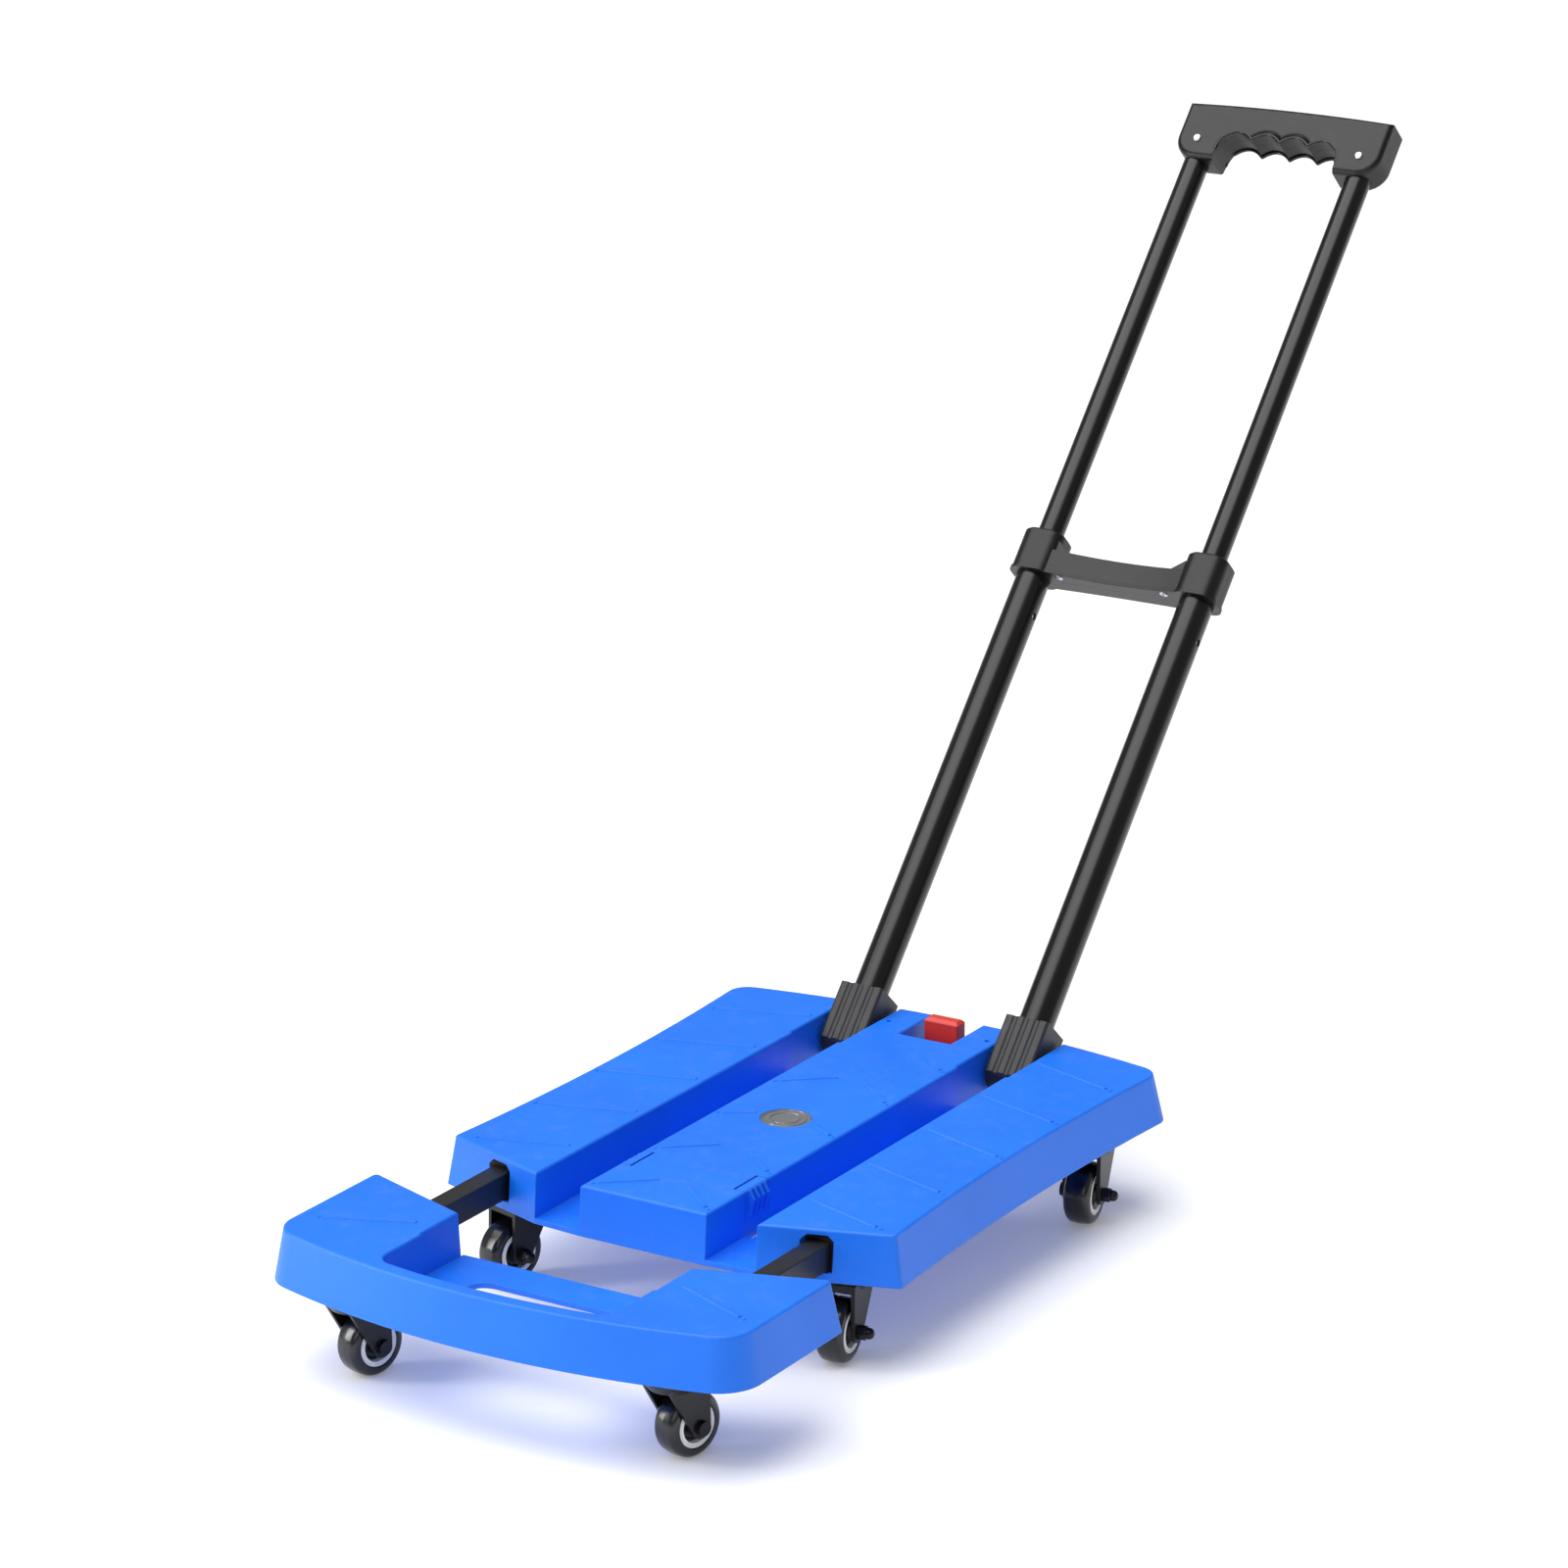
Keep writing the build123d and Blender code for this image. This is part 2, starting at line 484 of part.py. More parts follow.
def make_slide_tubes():
    """Rectangular steel tubes fixed in the extension, right side first."""
    outer = box(TUBE_X - TUBE_W / 2, TUBE_X + TUBE_W / 2, TUBE_SEAT_Y, TUBE_REAR_Y,
                TUBE_BOTTOM, TUBE_TOP)
    outer = fillet(outer.edges().filter_by(Axis.Y), 1.0)
    bore = box(TUBE_X - TUBE_W / 2 + TUBE_WALL, TUBE_X + TUBE_W / 2 - TUBE_WALL, TUBE_SEAT_Y - 1,
               TUBE_REAR_Y + 1, TUBE_BOTTOM + TUBE_WALL, TUBE_TOP - TUBE_WALL)
    thread = rod(CASTER_SCREW_R, (TUBE_X, TUBE_SCREW_Y, DECK_BOTTOM), (TUBE_X, TUBE_SCREW_Y, TUBE_MID_Z))
    return both(outer - bore - thread)


def make_tube_stops():
    """Plugs in the hidden ends of the slide tubes; their lips meet the guides when pulled out."""
    lip = TUBE_CLEAR + GUIDE_WALL - STOP_CLEAR
    head = box(TUBE_X - TUBE_W / 2 - lip, TUBE_X + TUBE_W / 2 + lip, TUBE_REAR_Y - STOP_T, TUBE_REAR_Y,
               TUBE_BOTTOM - 0.4, TUBE_TOP + 1)
    bore = box(TUBE_X - TUBE_W / 2, TUBE_X + TUBE_W / 2, TUBE_REAR_Y - STOP_T - 1, TUBE_REAR_Y + 1,
               TUBE_BOTTOM, TUBE_TOP)
    plug = box(TUBE_X - TUBE_W / 2 + TUBE_WALL, TUBE_X + TUBE_W / 2 - TUBE_WALL,
               TUBE_REAR_Y - STOP_PLUG_L, TUBE_REAR_Y, TUBE_BOTTOM + TUBE_WALL, TUBE_TOP - TUBE_WALL)
    cap = box(TUBE_X - TUBE_W / 2 - lip, TUBE_X + TUBE_W / 2 + lip, TUBE_REAR_Y, TUBE_REAR_Y + STOP_CAP_T,
              TUBE_BOTTOM - 0.4, TUBE_TOP + 1)
    return both((head - bore) + cap + plug)


# ---------------------------------------------------------------- casters

def make_plate(x, y):
    """A caster's top plate and, as its own solid, the swivel pin riveted through it."""
    plate = extrude(RectangleRounded(PLATE_X, PLATE_Y, 7), PLATE_T)
    plate = Pos(x, y, PLATE_BOTTOM) * plate
    holes = [rod(CASTER_SCREW_R, (x + sx * PLATE_HOLES[0], y + sy * PLATE_HOLES[1], PLATE_BOTTOM - 1),
                 (x + sx * PLATE_HOLES[0], y + sy * PLATE_HOLES[1], DECK_BOTTOM + 1))
             for sx in (-1, 1) for sy in (-1, 1)]
    holes.append(rod(SWIVEL_PIN_R, (x, y, PLATE_BOTTOM - 1), (x, y, DECK_BOTTOM + 1)))
    pin = rod(SWIVEL_PIN_R, (x, y, CROWN_BOTTOM), (x, y, DECK_BOTTOM))
    pin += rod(SWIVEL_HEAD_R, (x, y, DECK_BOTTOM), (x, y, DECK_BOTTOM + SWIVEL_HEAD_T))
    pin += rod(SWIVEL_PIN_R + 2.5, (x, y, CROWN_BOTTOM - 2), (x, y, CROWN_BOTTOM - 0.1))
    pin += rod(SWIVEL_PIN_R, (x, y, CROWN_BOTTOM - 1), (x, y, CROWN_BOTTOM))
    return [plate - holes, pin]


def make_plate_screws(x, y):
    """The four pan-head screws of one caster plate."""
    screws = []
    for sx in (-1, 1):
        for sy in (-1, 1):
            hx, hy = x + sx * PLATE_HOLES[0], y + sy * PLATE_HOLES[1]
            shank = rod(CASTER_SCREW_R, (hx, hy, PLATE_BOTTOM), (hx, hy, PLATE_BOTTOM + CASTER_SCREW_L))
            head = rod(CASTER_SCREW_HEAD_R, (hx, hy, PLATE_BOTTOM - CASTER_SCREW_HEAD_T),
                       (hx, hy, PLATE_BOTTOM))
            head = chamfer(head.edges().sort_by(Axis.Z)[0], 0.8)
            screws.append(shank + head)
    return screws


def make_fork():
    """A caster fork about its swivel axis, with the wheel trailing toward -Y."""
    crown = revolve(Plane.XZ * Polygon((0, CROWN_BOTTOM), (CROWN_FOOT_R, CROWN_BOTTOM),
                                       (CROWN_R, CROWN_TOP - 3), (CROWN_R, CROWN_TOP), (0, CROWN_TOP),
                                       align=None), Axis.Z)
    rear, front = CROWN_FOOT_R - 3, -CROWN_R + 2
    crown_side = Polygon((front, CROWN_TOP - 4), (rear, CROWN_TOP - 4), (rear, CROWN_BOTTOM),
                         (front, CROWN_BOTTOM), align=None)
    axle_eye = Pos(-CASTER_TRAIL, WHEEL_R) * Circle(FORK_AXLE_R)
    side = Plane.YZ * make_hull(crown_side.edges() + axle_eye.edges())
    legs = extrude(side, FORK_OUT_X, both=True)
    wheel_space = box(-FORK_IN_X, FORK_IN_X, -60, 60, 0, CROWN_BOTTOM)
    fork = legs + crown - wheel_space
    fork -= rod(SWIVEL_PIN_R + RUN_CLEAR, (0, 0, CROWN_BOTTOM - 1), (0, 0, CROWN_TOP + 1))
    fork -= rod(AXLE_R, (-FORK_OUT_X - 1, -CASTER_TRAIL, WHEEL_R), (FORK_OUT_X + 1, -CASTER_TRAIL, WHEEL_R))
    return fork


def make_axle():
    """The axle bolt and, as its own solid, the domed cap nut on its outer end."""
    y, z = -CASTER_TRAIL, WHEEL_R
    bolt = rod(AXLE_R, (-FORK_OUT_X, y, z), (FORK_OUT_X + CAP_NUT_L / 2, y, z))
    bolt += rod(BOLT_HEAD_R, (-FORK_OUT_X - BOLT_HEAD_T, y, z), (-FORK_OUT_X, y, z))
    nut_face = Plane(origin=(FORK_OUT_X, y, z), x_dir=(0, 1, 0), z_dir=(1, 0, 0))
    nut = extrude(nut_face * RegularPolygon(CAP_NUT_R, 6), CAP_NUT_L / 2)
    nut += rod(CAP_NUT_R * 0.8, (FORK_OUT_X + CAP_NUT_L / 2, y, z), (FORK_OUT_X + CAP_NUT_L, y, z))
    nut = fillet(nut.edges().sort_by(Axis.X)[-1], CAP_NUT_R * 0.7)
    nut -= rod(AXLE_R, (FORK_OUT_X - 1, y, z), (FORK_OUT_X + CAP_NUT_L / 2, y, z))
    return [bolt, nut]


def wheel_profile(points):
    """A solid of revolution about the wheel's own axis, which is X at axle height."""
    face = Plane.XY * Polygon(*points, align=None)
    return Pos(0, -CASTER_TRAIL, WHEEL_R) * revolve(face, Axis.X)


def make_hub():
    """The wheel's light ring, web and boss, running on the axle."""
    ring_in, half = HUB_R - HUB_RING_T, TYRE_W / 2 - 0.6
    web, boss = HUB_WEB_T / 2, FORK_IN_X - 0.4
    bore = AXLE_R + AXLE_CLEAR
    return wheel_profile([(-boss, bore), (-boss, HUB_BOSS_R), (-web, HUB_BOSS_R), (-web, ring_in),
                          (-half, ring_in), (-half, HUB_R), (half, HUB_R), (half, ring_in),
                          (web, ring_in), (web, HUB_BOSS_R), (boss, HUB_BOSS_R), (boss, bore)])


def make_tyre():
    """The black tread moulded on the hub."""
    half = TYRE_W / 2
    tyre = wheel_profile([(-half, HUB_R), (-half, WHEEL_R), (half, WHEEL_R), (half, HUB_R)])
    rims = tyre.edges().filter_by(GeomType.CIRCLE).group_by(SortBy.RADIUS)[-1]
    return fillet(rims, TYRE_SHOULDER_R)


def add_casters():
    """Six swivel casters, each turned to its own heading."""
    fork, axle, hub, tyre = make_fork(), make_axle(), make_hub(), make_tyre()
    for name, (x, y) in CASTER_PLACES.items():
        place = Pos(x, y, 0) * Rot(0, 0, HEADINGS[name])
        nodes[f"fork_{name}"] = place * fork
        nodes[f"axle_{name}"] = [place * solid for solid in axle]
        nodes[f"hub_{name}"] = place * hub
        nodes[f"tyre_{name}"] = place * tyre
    for group, names in (("main", ("mid_left", "mid_right", "rear_left", "rear_right")),
                         ("extension", ("front_left", "front_right"))):
        places = [CASTER_PLACES[name] for name in names]
        nodes[f"{group}_caster_plates"] = [solid for place in places for solid in make_plate(*place)]
        nodes[f"{group}_caster_screws"] = [solid for place in places for solid in make_plate_screws(*place)]


# ---------------------------------------------------------------- handle
# The handle is modelled standing up at the hinge: x across, y forwards is negative and z is
# the distance along the poles. HANDLE then leans it back to where it stands on the cart.

HANDLE = Plane(origin=(0, PIVOT_Y, PIVOT_Z), x_dir=(1, 0, 0),
               z_dir=(0, sin(radians(LEAN)), cos(radians(LEAN)))).location


def upright(x, radius, z0, z1, y=0.0):
    """A cylinder along the pole direction."""
    return rod(radius, (x, y, z0), (x, y, z1))


def make_collar(side):
    """The ribbed plastic knuckle that joins a pole to the deck; side is -1 left, 1 right."""
    x = side * POLE_X
    rear_step = OUTER_POLE_R + 1.5
    body = Polygon((-COLLAR_FRONT_N, COLLAR_FOOT_S), (-COLLAR_FRONT_N, COLLAR_TOP_S),
                   (rear_step, COLLAR_TOP_S), (rear_step, COLLAR_TOP_S - 4),
                   (COLLAR_REAR_N, COLLAR_TOP_S - 10), (COLLAR_REAR_N, COLLAR_TOP_S - 33),
                   (KNUCKLE_R * 0.9, 0), (0, -KNUCKLE_R * 0.9), align=None)
    face = Plane.YZ * (body + Circle(KNUCKLE_R))
    collar = Pos(x, 0, 0) * extrude(face, COLLAR_HALF_W, both=True)
    uprights = collar.edges().filter_by(Axis.Z)
    front = [edge for edge in uprights if edge.center().Y < 1 - COLLAR_FRONT_N]
    collar = fillet(front, 3.0)
    flute_pitch = 2 * COLLAR_HALF_W / (COLLAR_FLUTES + 1)
    cuts = [upright(x, OUTER_POLE_R, POLE_FOOT_S, COLLAR_TOP_S + 1),
            rod(HINGE_PIN_R + RUN_CLEAR, (x - COLLAR_HALF_W - 1, 0, 0), (x + COLLAR_HALF_W + 1, 0, 0))]
    for i in range(COLLAR_FLUTES):
        flute_x = x - COLLAR_HALF_W + (i + 1) * flute_pitch
        cuts.append(upright(flute_x, 3.5, COLLAR_FOOT_S - 1, COLLAR_TOP_S + 1, -COLLAR_FRONT_N - 2.3))
    collar = HANDLE * (collar - cuts)
    inner = side * (POLE_X - COLLAR_HALF_W)
    notch_y = (LATCH_FRONT_Y + LATCH_REAR_Y) / 2 - LOCK_BAR_R - LOCK_SLOT_CLEAR
    half_z = LOCK_BAR_R + LOCK_SLOT_CLEAR
    notch = box(min(inner - side, inner + 7 * side), max(inner - side, inner + 7 * side),
                notch_y, notch_y + 20, LOCK_BAR_Z - half_z, LOCK_BAR_Z + half_z)
    return collar - notch


def make_outer_pole(x):
    """A lower pole, with the hole its detent pin springs into on the +X side."""
    pole = upright(x, OUTER_POLE_R, POLE_FOOT_S, OUTER_POLE_TOP_S)
    pole -= upright(x, OUTER_POLE_BORE, POLE_FOOT_S - 1, OUTER_POLE_TOP_S + 1)
    pole -= rod(DETENT_R + 0.6, (x, 0, DETENT_S), (x + OUTER_POLE_R + 1, 0, DETENT_S))
    return HANDLE * pole


def make_inner_pole(x):
    """An upper pole, from its foot inside the lower pole to its seat in the grip."""
    pole = upright(x, INNER_POLE_R, INNER_POLE_FOOT_S, INNER_POLE_TOP_S)
    pole -= upright(x, INNER_POLE_BORE, INNER_POLE_FOOT_S - 1, INNER_POLE_TOP_S + 1)
    pole -= rod(DETENT_R + 0.1, (x, 0, DETENT_S), (x + INNER_POLE_R + 1, 0, DETENT_S))
    pole -= rod(SCREW_SHANK_R, (x, -GRIP_HALF_N, GRIP_SCREW_S), (x, 0, GRIP_SCREW_S))
    return HANDLE * pole


def brace_bar(z0, z1, out):
    """The bowed bar between the two sleeves, grown outwards by out."""
    end_x, end_y = POLE_X - OUTER_POLE_R, BRACE_HALF_N - 3.5 + out
    with BuildSketch(Plane.XY.offset(z0)) as sketch:
        with BuildLine():
            ThreePointArc((-end_x, -end_y), (0, BRACE_BOW - end_y), (end_x, -end_y))
            Line((end_x, -end_y), (end_x, end_y))
            ThreePointArc((end_x, end_y), (0, end_y - 1), (-end_x, end_y))
            Line((-end_x, end_y), (-end_x, -end_y))
        make_face()
    return extrude(sketch.sketch, z1 - z0)


def make_brace():
    """The two halves, front and back, of the cross piece that ties the lower poles."""
    body = brace_bar(BRACE_FOOT_S, BRACE_BAR_TOP_S, 0)
    body += brace_bar(BRACE_FOOT_S, BRACE_FOOT_S + BRACE_LIP_H, BRACE_LIP)
    gusset_w = BRACE_TOP_S - 6 - BRACE_BAR_TOP_S
    inner_x = POLE_X - SLEEVE_HALF_W
    for side in (-1, 1):
        sleeve = extrude(Pos(side * POLE_X, 0, BRACE_FOOT_S)
                         * RectangleRounded(2 * SLEEVE_HALF_W, 2 * BRACE_HALF_N, SLEEVE_CORNER_R),
                         BRACE_TOP_S - BRACE_FOOT_S)
        sleeve = chamfer(sleeve.faces().sort_by(Axis.Z)[-1].edges(), 2.0)
        rim = extrude(Pos(side * POLE_X, 0, BRACE_FOOT_S)
                      * RectangleRounded(2 * (SLEEVE_HALF_W + BRACE_LIP), 2 * (BRACE_HALF_N + BRACE_LIP),
                                         SLEEVE_CORNER_R + BRACE_LIP), BRACE_LIP_H)
        corner = Plane.XZ * Polygon((side * (inner_x + 3), BRACE_BAR_TOP_S - 1),
                                    (side * (inner_x + 3), BRACE_TOP_S - 6),
                                    (side * (inner_x - gusset_w), BRACE_BAR_TOP_S - 1), align=None)
        body = body + [sleeve, rim, extrude(corner, BRACE_HALF_N - 6, both=True)]
    cuts = []
    for side in (-1, 1):
        cuts.append(upright(side * POLE_X, OUTER_POLE_R, BRACE_FOOT_S - 1, OUTER_POLE_TOP_S + BUSH_FLANGE_T))
        cuts.append(upright(side * POLE_X, INNER_POLE_R + 0.6, BRACE_FOOT_S, BRACE_TOP_S + 1))
        cuts.append(upright(side * BRACE_SCREW_X, SCREW_SHANK_R, BRACE_FOOT_S - 1,
                            BRACE_FOOT_S + BRACE_SCREW_L, BRACE_SCREW_Y))
    body = body - cuts
    far = 150.0
    return (HANDLE * (body & box(-far, far, -far, 0, 0, 2 * BRACE_TOP_S)),
            HANDLE * (body & box(-far, far, 0, far, 0, 2 * BRACE_TOP_S)))


def make_brace_screws():
    """Two screws up into the underside of the brace."""
    screws = []
    for side in (-1, 1):
        x = side * BRACE_SCREW_X
        screw = upright(x, SCREW_SHANK_R, BRACE_FOOT_S, BRACE_FOOT_S + BRACE_SCREW_L, BRACE_SCREW_Y)
        head = upright(x, 3.2, BRACE_FOOT_S - 1.8, BRACE_FOOT_S, BRACE_SCREW_Y)
        head = chamfer(head.edges().sort_by(Axis.Z)[0], 0.7)
        screws.append(HANDLE * (screw + head))
    return screws


def make_pole_bushes():
    """Flanged bushes in the mouths of the lower poles."""
    bushes = []
    for x in (-POLE_X, POLE_X):
        bush = upright(x, OUTER_POLE_BORE, BUSH_FOOT_S, OUTER_POLE_TOP_S)
        bush += upright(x, OUTER_POLE_R, OUTER_POLE_TOP_S, OUTER_POLE_TOP_S + BUSH_FLANGE_T)
        bush -= upright(x, INNER_POLE_R + BUSH_CLEAR, BUSH_FOOT_S - 1, BRACE_TOP_S + 1)
        bushes.append(HANDLE * bush)
    return bushes


def make_pole_feet():
    """Sliding rings round the lower ends of the inner poles."""
    feet = []
    for x in (-POLE_X, POLE_X):
        ring = upright(x, OUTER_POLE_BORE - BUSH_CLEAR, *FOOT_RING_S)
        ring -= upright(x, INNER_POLE_R, FOOT_RING_S[0] - 1, FOOT_RING_S[1] + 1)
        feet.append(HANDLE * ring)
    return feet


def make_detent_pins():
    """The two spring pins that lock the pulled-out poles, both on the +X side."""
    reach = OUTER_POLE_BORE - DETENT_HIDE
    return [HANDLE * rod(DETENT_R, (x + DETENT_STROKE, 0, DETENT_S), (x + reach, 0, DETENT_S))
            for x in (-POLE_X, POLE_X)]


def grip_outline():
    """The grip's front view: rounded top corners, ears over the poles and finger hollows."""
    half, ear, top = GRIP_HALF_W, GRIP_EAR_IN_X, GRIP_TOP_S - GRIP_CROWN
    cusp = FINGER_S - FINGER_DEPTH
    span = FINGERS * FINGER_PITCH / 2
    with BuildSketch(Plane.XZ) as sketch:
        with BuildLine():
            Line((-ear, GRIP_FOOT_S), (-half, GRIP_FOOT_S))
            Line((-half, GRIP_FOOT_S), (-half, top))
            ThreePointArc((-half, top), (0, GRIP_TOP_S), (half, top))
            Line((half, top), (half, GRIP_FOOT_S))
            Line((half, GRIP_FOOT_S), (ear, GRIP_FOOT_S))
            ThreePointArc((ear, GRIP_FOOT_S), (ear - 0.8, (GRIP_FOOT_S + cusp) / 2), (span, cusp))
            for i in range(FINGERS):
                x = span - i * FINGER_PITCH
                ThreePointArc((x, cusp), (x - FINGER_PITCH / 2, FINGER_S), (x - FINGER_PITCH, cusp))
            ThreePointArc((-span, cusp), (0.8 - ear, (GRIP_FOOT_S + cusp) / 2), (-ear, GRIP_FOOT_S))
        make_face()
        for side in (-1, 1):
            corner = sketch.vertices().sort_by_distance((side * half, 0, top))[0]
            fillet(corner, GRIP_CORNER_R)
    return sketch.sketch


def make_grip():
    """The two shells, front and back, of the grip, hollow for the release yoke."""
    body = extrude(grip_outline(), GRIP_HALF_N, both=True)
    faces = body.faces().sort_by(Axis.Y)
    upper = [edge for edge in faces[0].edges() + faces[-1].edges()
             if edge.center().Z > FINGER_S or abs(edge.center().X) > GRIP_HALF_W - 1]
    body = fillet(upper, GRIP_EDGE_R)
    body = body - box(-YOKE_HALF_X - 3, YOKE_HALF_X + 3, -CAVITY_HALF_N, CAVITY_HALF_N,
                      CAVITY_FOOT_S, CAVITY_TOP_S)
    cuts = [box(-BUTTON_HALF_X - BUTTON_CLEAR, BUTTON_HALF_X + BUTTON_CLEAR,
                -BUTTON_HALF_N - BUTTON_CLEAR, BUTTON_HALF_N + BUTTON_CLEAR,
                CAVITY_TOP_S - 1, GRIP_TOP_S + 5)]
    for side in (-1, 1):
        x = side * POLE_X
        cuts.append(upright(x, INNER_POLE_R, GRIP_FOOT_S - 1, INNER_POLE_TOP_S))
        cuts.append(upright(x, INNER_POLE_BORE, INNER_POLE_TOP_S - 1, CAVITY_FOOT_S + 1))
        cuts.append(rod(SCREW_SHANK_R, (x, -GRIP_HALF_N - 1, GRIP_SCREW_S), (x, 0, GRIP_SCREW_S)))
    body = body - cuts
    far = 150.0
    return (HANDLE * (body & box(-far, far, -far, 0, 0, 2 * GRIP_TOP_S)),
            HANDLE * (body & box(-far, far, 0, far, 0, 2 * GRIP_TOP_S)))


def make_grip_screws():
    """Dome-headed screws that pin the grip to the inner poles."""
    screws = []
    for x in (-POLE_X, POLE_X):
        screw = rod(SCREW_SHANK_R, (x, -GRIP_HALF_N, GRIP_SCREW_S), (x, 1.5 - INNER_POLE_BORE, GRIP_SCREW_S))
        head = rod(GRIP_SCREW_R, (x, -GRIP_HALF_N - 1.8, GRIP_SCREW_S), (x, -GRIP_HALF_N, GRIP_SCREW_S))
        head = fillet(head.edges().sort_by(Axis.Y)[0], 1.5)
        screws.append(HANDLE * (screw + head))
    return screws


def make_grip_button():
    """The red release button, with the flange that keeps it in the grip."""
    top = GRIP_TOP_S + BUTTON_PROUD
    button = box(-BUTTON_HALF_X, BUTTON_HALF_X, -BUTTON_HALF_N, BUTTON_HALF_N, YOKE_TOP_S, top)
    button = fillet(button.edges().group_by(Axis.Z)[-1], 1.8)
    flange = box(-BUTTON_HALF_X - 3, BUTTON_HALF_X + 3, -8.5, 8.5, YOKE_TOP_S, CAVITY_TOP_S - 0.3)
    return HANDLE * (button + flange)


def make_release_rods():
    """The yoke under the button and the two rods that reach down to the detent pins."""
    yoke = box(-YOKE_HALF_X, YOKE_HALF_X, ROD_Y - 3.5, ROD_Y + 3.5, YOKE_FOOT_S, YOKE_TOP_S)
    for x in (-POLE_X, POLE_X):
        yoke += upright(x, ROD_R, DETENT_S + 1, YOKE_FOOT_S + 1, ROD_Y)
    return HANDLE * yoke


def coil(radius, height, turns):
    """A round-wire compression spring standing on z = 0."""
    half = SPRING_WIRE_R
    path = Helix((height - 2 * half) / turns, height - 2 * half, radius, center=(0, 0, half))
    start = path @ 0
    return sweep(Plane(origin=start, z_dir=path % 0) * Circle(half), path)


# ---------------------------------------------------------------- folding latch

def make_latch_button():
    """The red block that is pressed down to free the handle."""
    block = box(-LATCH_HALF_W, LATCH_HALF_W, LATCH_FRONT_Y, LATCH_REAR_Y, LATCH_FOOT, LATCH_TOP)
    block = chamfer(block.edges().group_by(Axis.Z)[-1], 2.5)
    block = fillet(block.edges().filter_by(Axis.Z), 1.2)
    mid_y = (LATCH_FRONT_Y + LATCH_REAR_Y) / 2
    return block - rod(LOCK_BAR_R, (-LATCH_HALF_W - 1, mid_y, LOCK_BAR_Z),
                       (LATCH_HALF_W + 1, mid_y, LOCK_BAR_Z))


def make_lock_bar():
    """The steel bar through the button, reaching both collars."""
    half = POLE_X - COLLAR_HALF_W - 0.5
    mid_y = (LATCH_FRONT_Y + LATCH_REAR_Y) / 2
    return rod(LOCK_BAR_R, (-half, mid_y, LOCK_BAR_Z), (half, mid_y, LOCK_BAR_Z))


def add_deck():
    """Everything fixed to the deck."""
    nodes["main_deck"] = make_main_deck()
    nodes["slide_guides"] = make_slide_guides()
    nodes["deck_badge"] = make_badge()
    nodes["hinge_pins"] = make_hinge_pins()


def add_extension():
    """The pull-out end and its tubes."""
    nodes["extension_panel"] = make_extension_panel()
    right, left = make_slide_tubes()
    nodes["slide_tube_left"], nodes["slide_tube_right"] = left, right
    nodes["tube_stops"] = make_tube_stops()
    screw = rod(CASTER_SCREW_R, (TUBE_X, TUBE_SCREW_Y, DECK_BOTTOM), (TUBE_X, TUBE_SCREW_Y, TUBE_MID_Z))
    head = rod(CASTER_SCREW_HEAD_R, (TUBE_X, TUBE_SCREW_Y, DECK_BOTTOM - CASTER_SCREW_HEAD_T),
               (TUBE_X, TUBE_SCREW_Y, DECK_BOTTOM))
    nodes["tube_screws"] = both(screw + head)


def add_handle():
    """The folding, telescoping handle and its release."""
    for name, side in (("left", -1), ("right", 1)):
        nodes[f"pole_collar_{name}"] = make_collar(side)
        nodes[f"outer_pole_{name}"] = make_outer_pole(side * POLE_X)
        nodes[f"inner_pole_{name}"] = make_inner_pole(side * POLE_X)
    nodes["brace_front"], nodes["brace_back"] = make_brace()
    nodes["brace_screws"] = make_brace_screws()
    nodes["pole_bushes"] = make_pole_bushes()
    nodes["pole_feet"] = make_pole_feet()
    nodes["detent_pins"] = make_detent_pins()
    nodes["grip_front"], nodes["grip_back"] = make_grip()
    nodes["grip_screws"] = make_grip_screws()
    nodes["grip_button"] = make_grip_button()
    nodes["release_rods"] = make_release_rods()
    height = YOKE_FOOT_S - CAVITY_FOOT_S
    nodes["grip_spring"] = HANDLE * Pos(0, ROD_Y, CAVITY_FOOT_S) * coil(2.8, height, 3)


def add_latch():
    """The folding latch between the poles."""
    nodes["latch_button"] = make_latch_button()
    nodes["lock_bar"] = make_lock_bar()
    mid_y = (LATCH_FRONT_Y + LATCH_REAR_Y) / 2
    height = LATCH_FOOT - CHANNEL_FLOOR
    nodes["latch_spring"] = Pos(0, mid_y, CHANNEL_FLOOR) * coil(4.5, height, 4)


def group(shape):
    """One shape to write for a node, whether it holds one solid or several."""
    if isinstance(shape, (list, tuple)):
        return Compound([solid for piece in shape for solid in piece.solids()])
    return shape


def middle_shift():
    """How far the whole cart moves along Y to bring its middle to y = 0."""
    boxes = [group(shape).bounding_box() for shape in nodes.values()]
    return -(min(b.min.Y for b in boxes) + max(b.max.Y for b in boxes)) / 2


def write_nodes():
    """Write every node, moved so that the origin is under the middle of the cart."""
    os.makedirs("parts", exist_ok=True)
    for name, shape in nodes.items():
        export_step(Pos(0, SHIFT_Y, 0) * group(shape), f"parts/{name}.step")


add_deck()
add_latch()
add_extension()
add_casters()
add_handle()
SHIFT_Y = middle_shift()
write_nodes()
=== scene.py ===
"""Finishes, moulded detail, studio and camera for the folding platform cart.

Everything is in metres in the cart's own frame: +X across the cart, +Y towards the
handle, +Z up, the floor at z = 0 and y = 0 under the middle of the whole cart.
"""

import json
import logging
import math
from dataclasses import dataclass
from enum import Enum
from typing import Any, Iterable

import bmesh
import bpy
from mathutils import Matrix, Vector

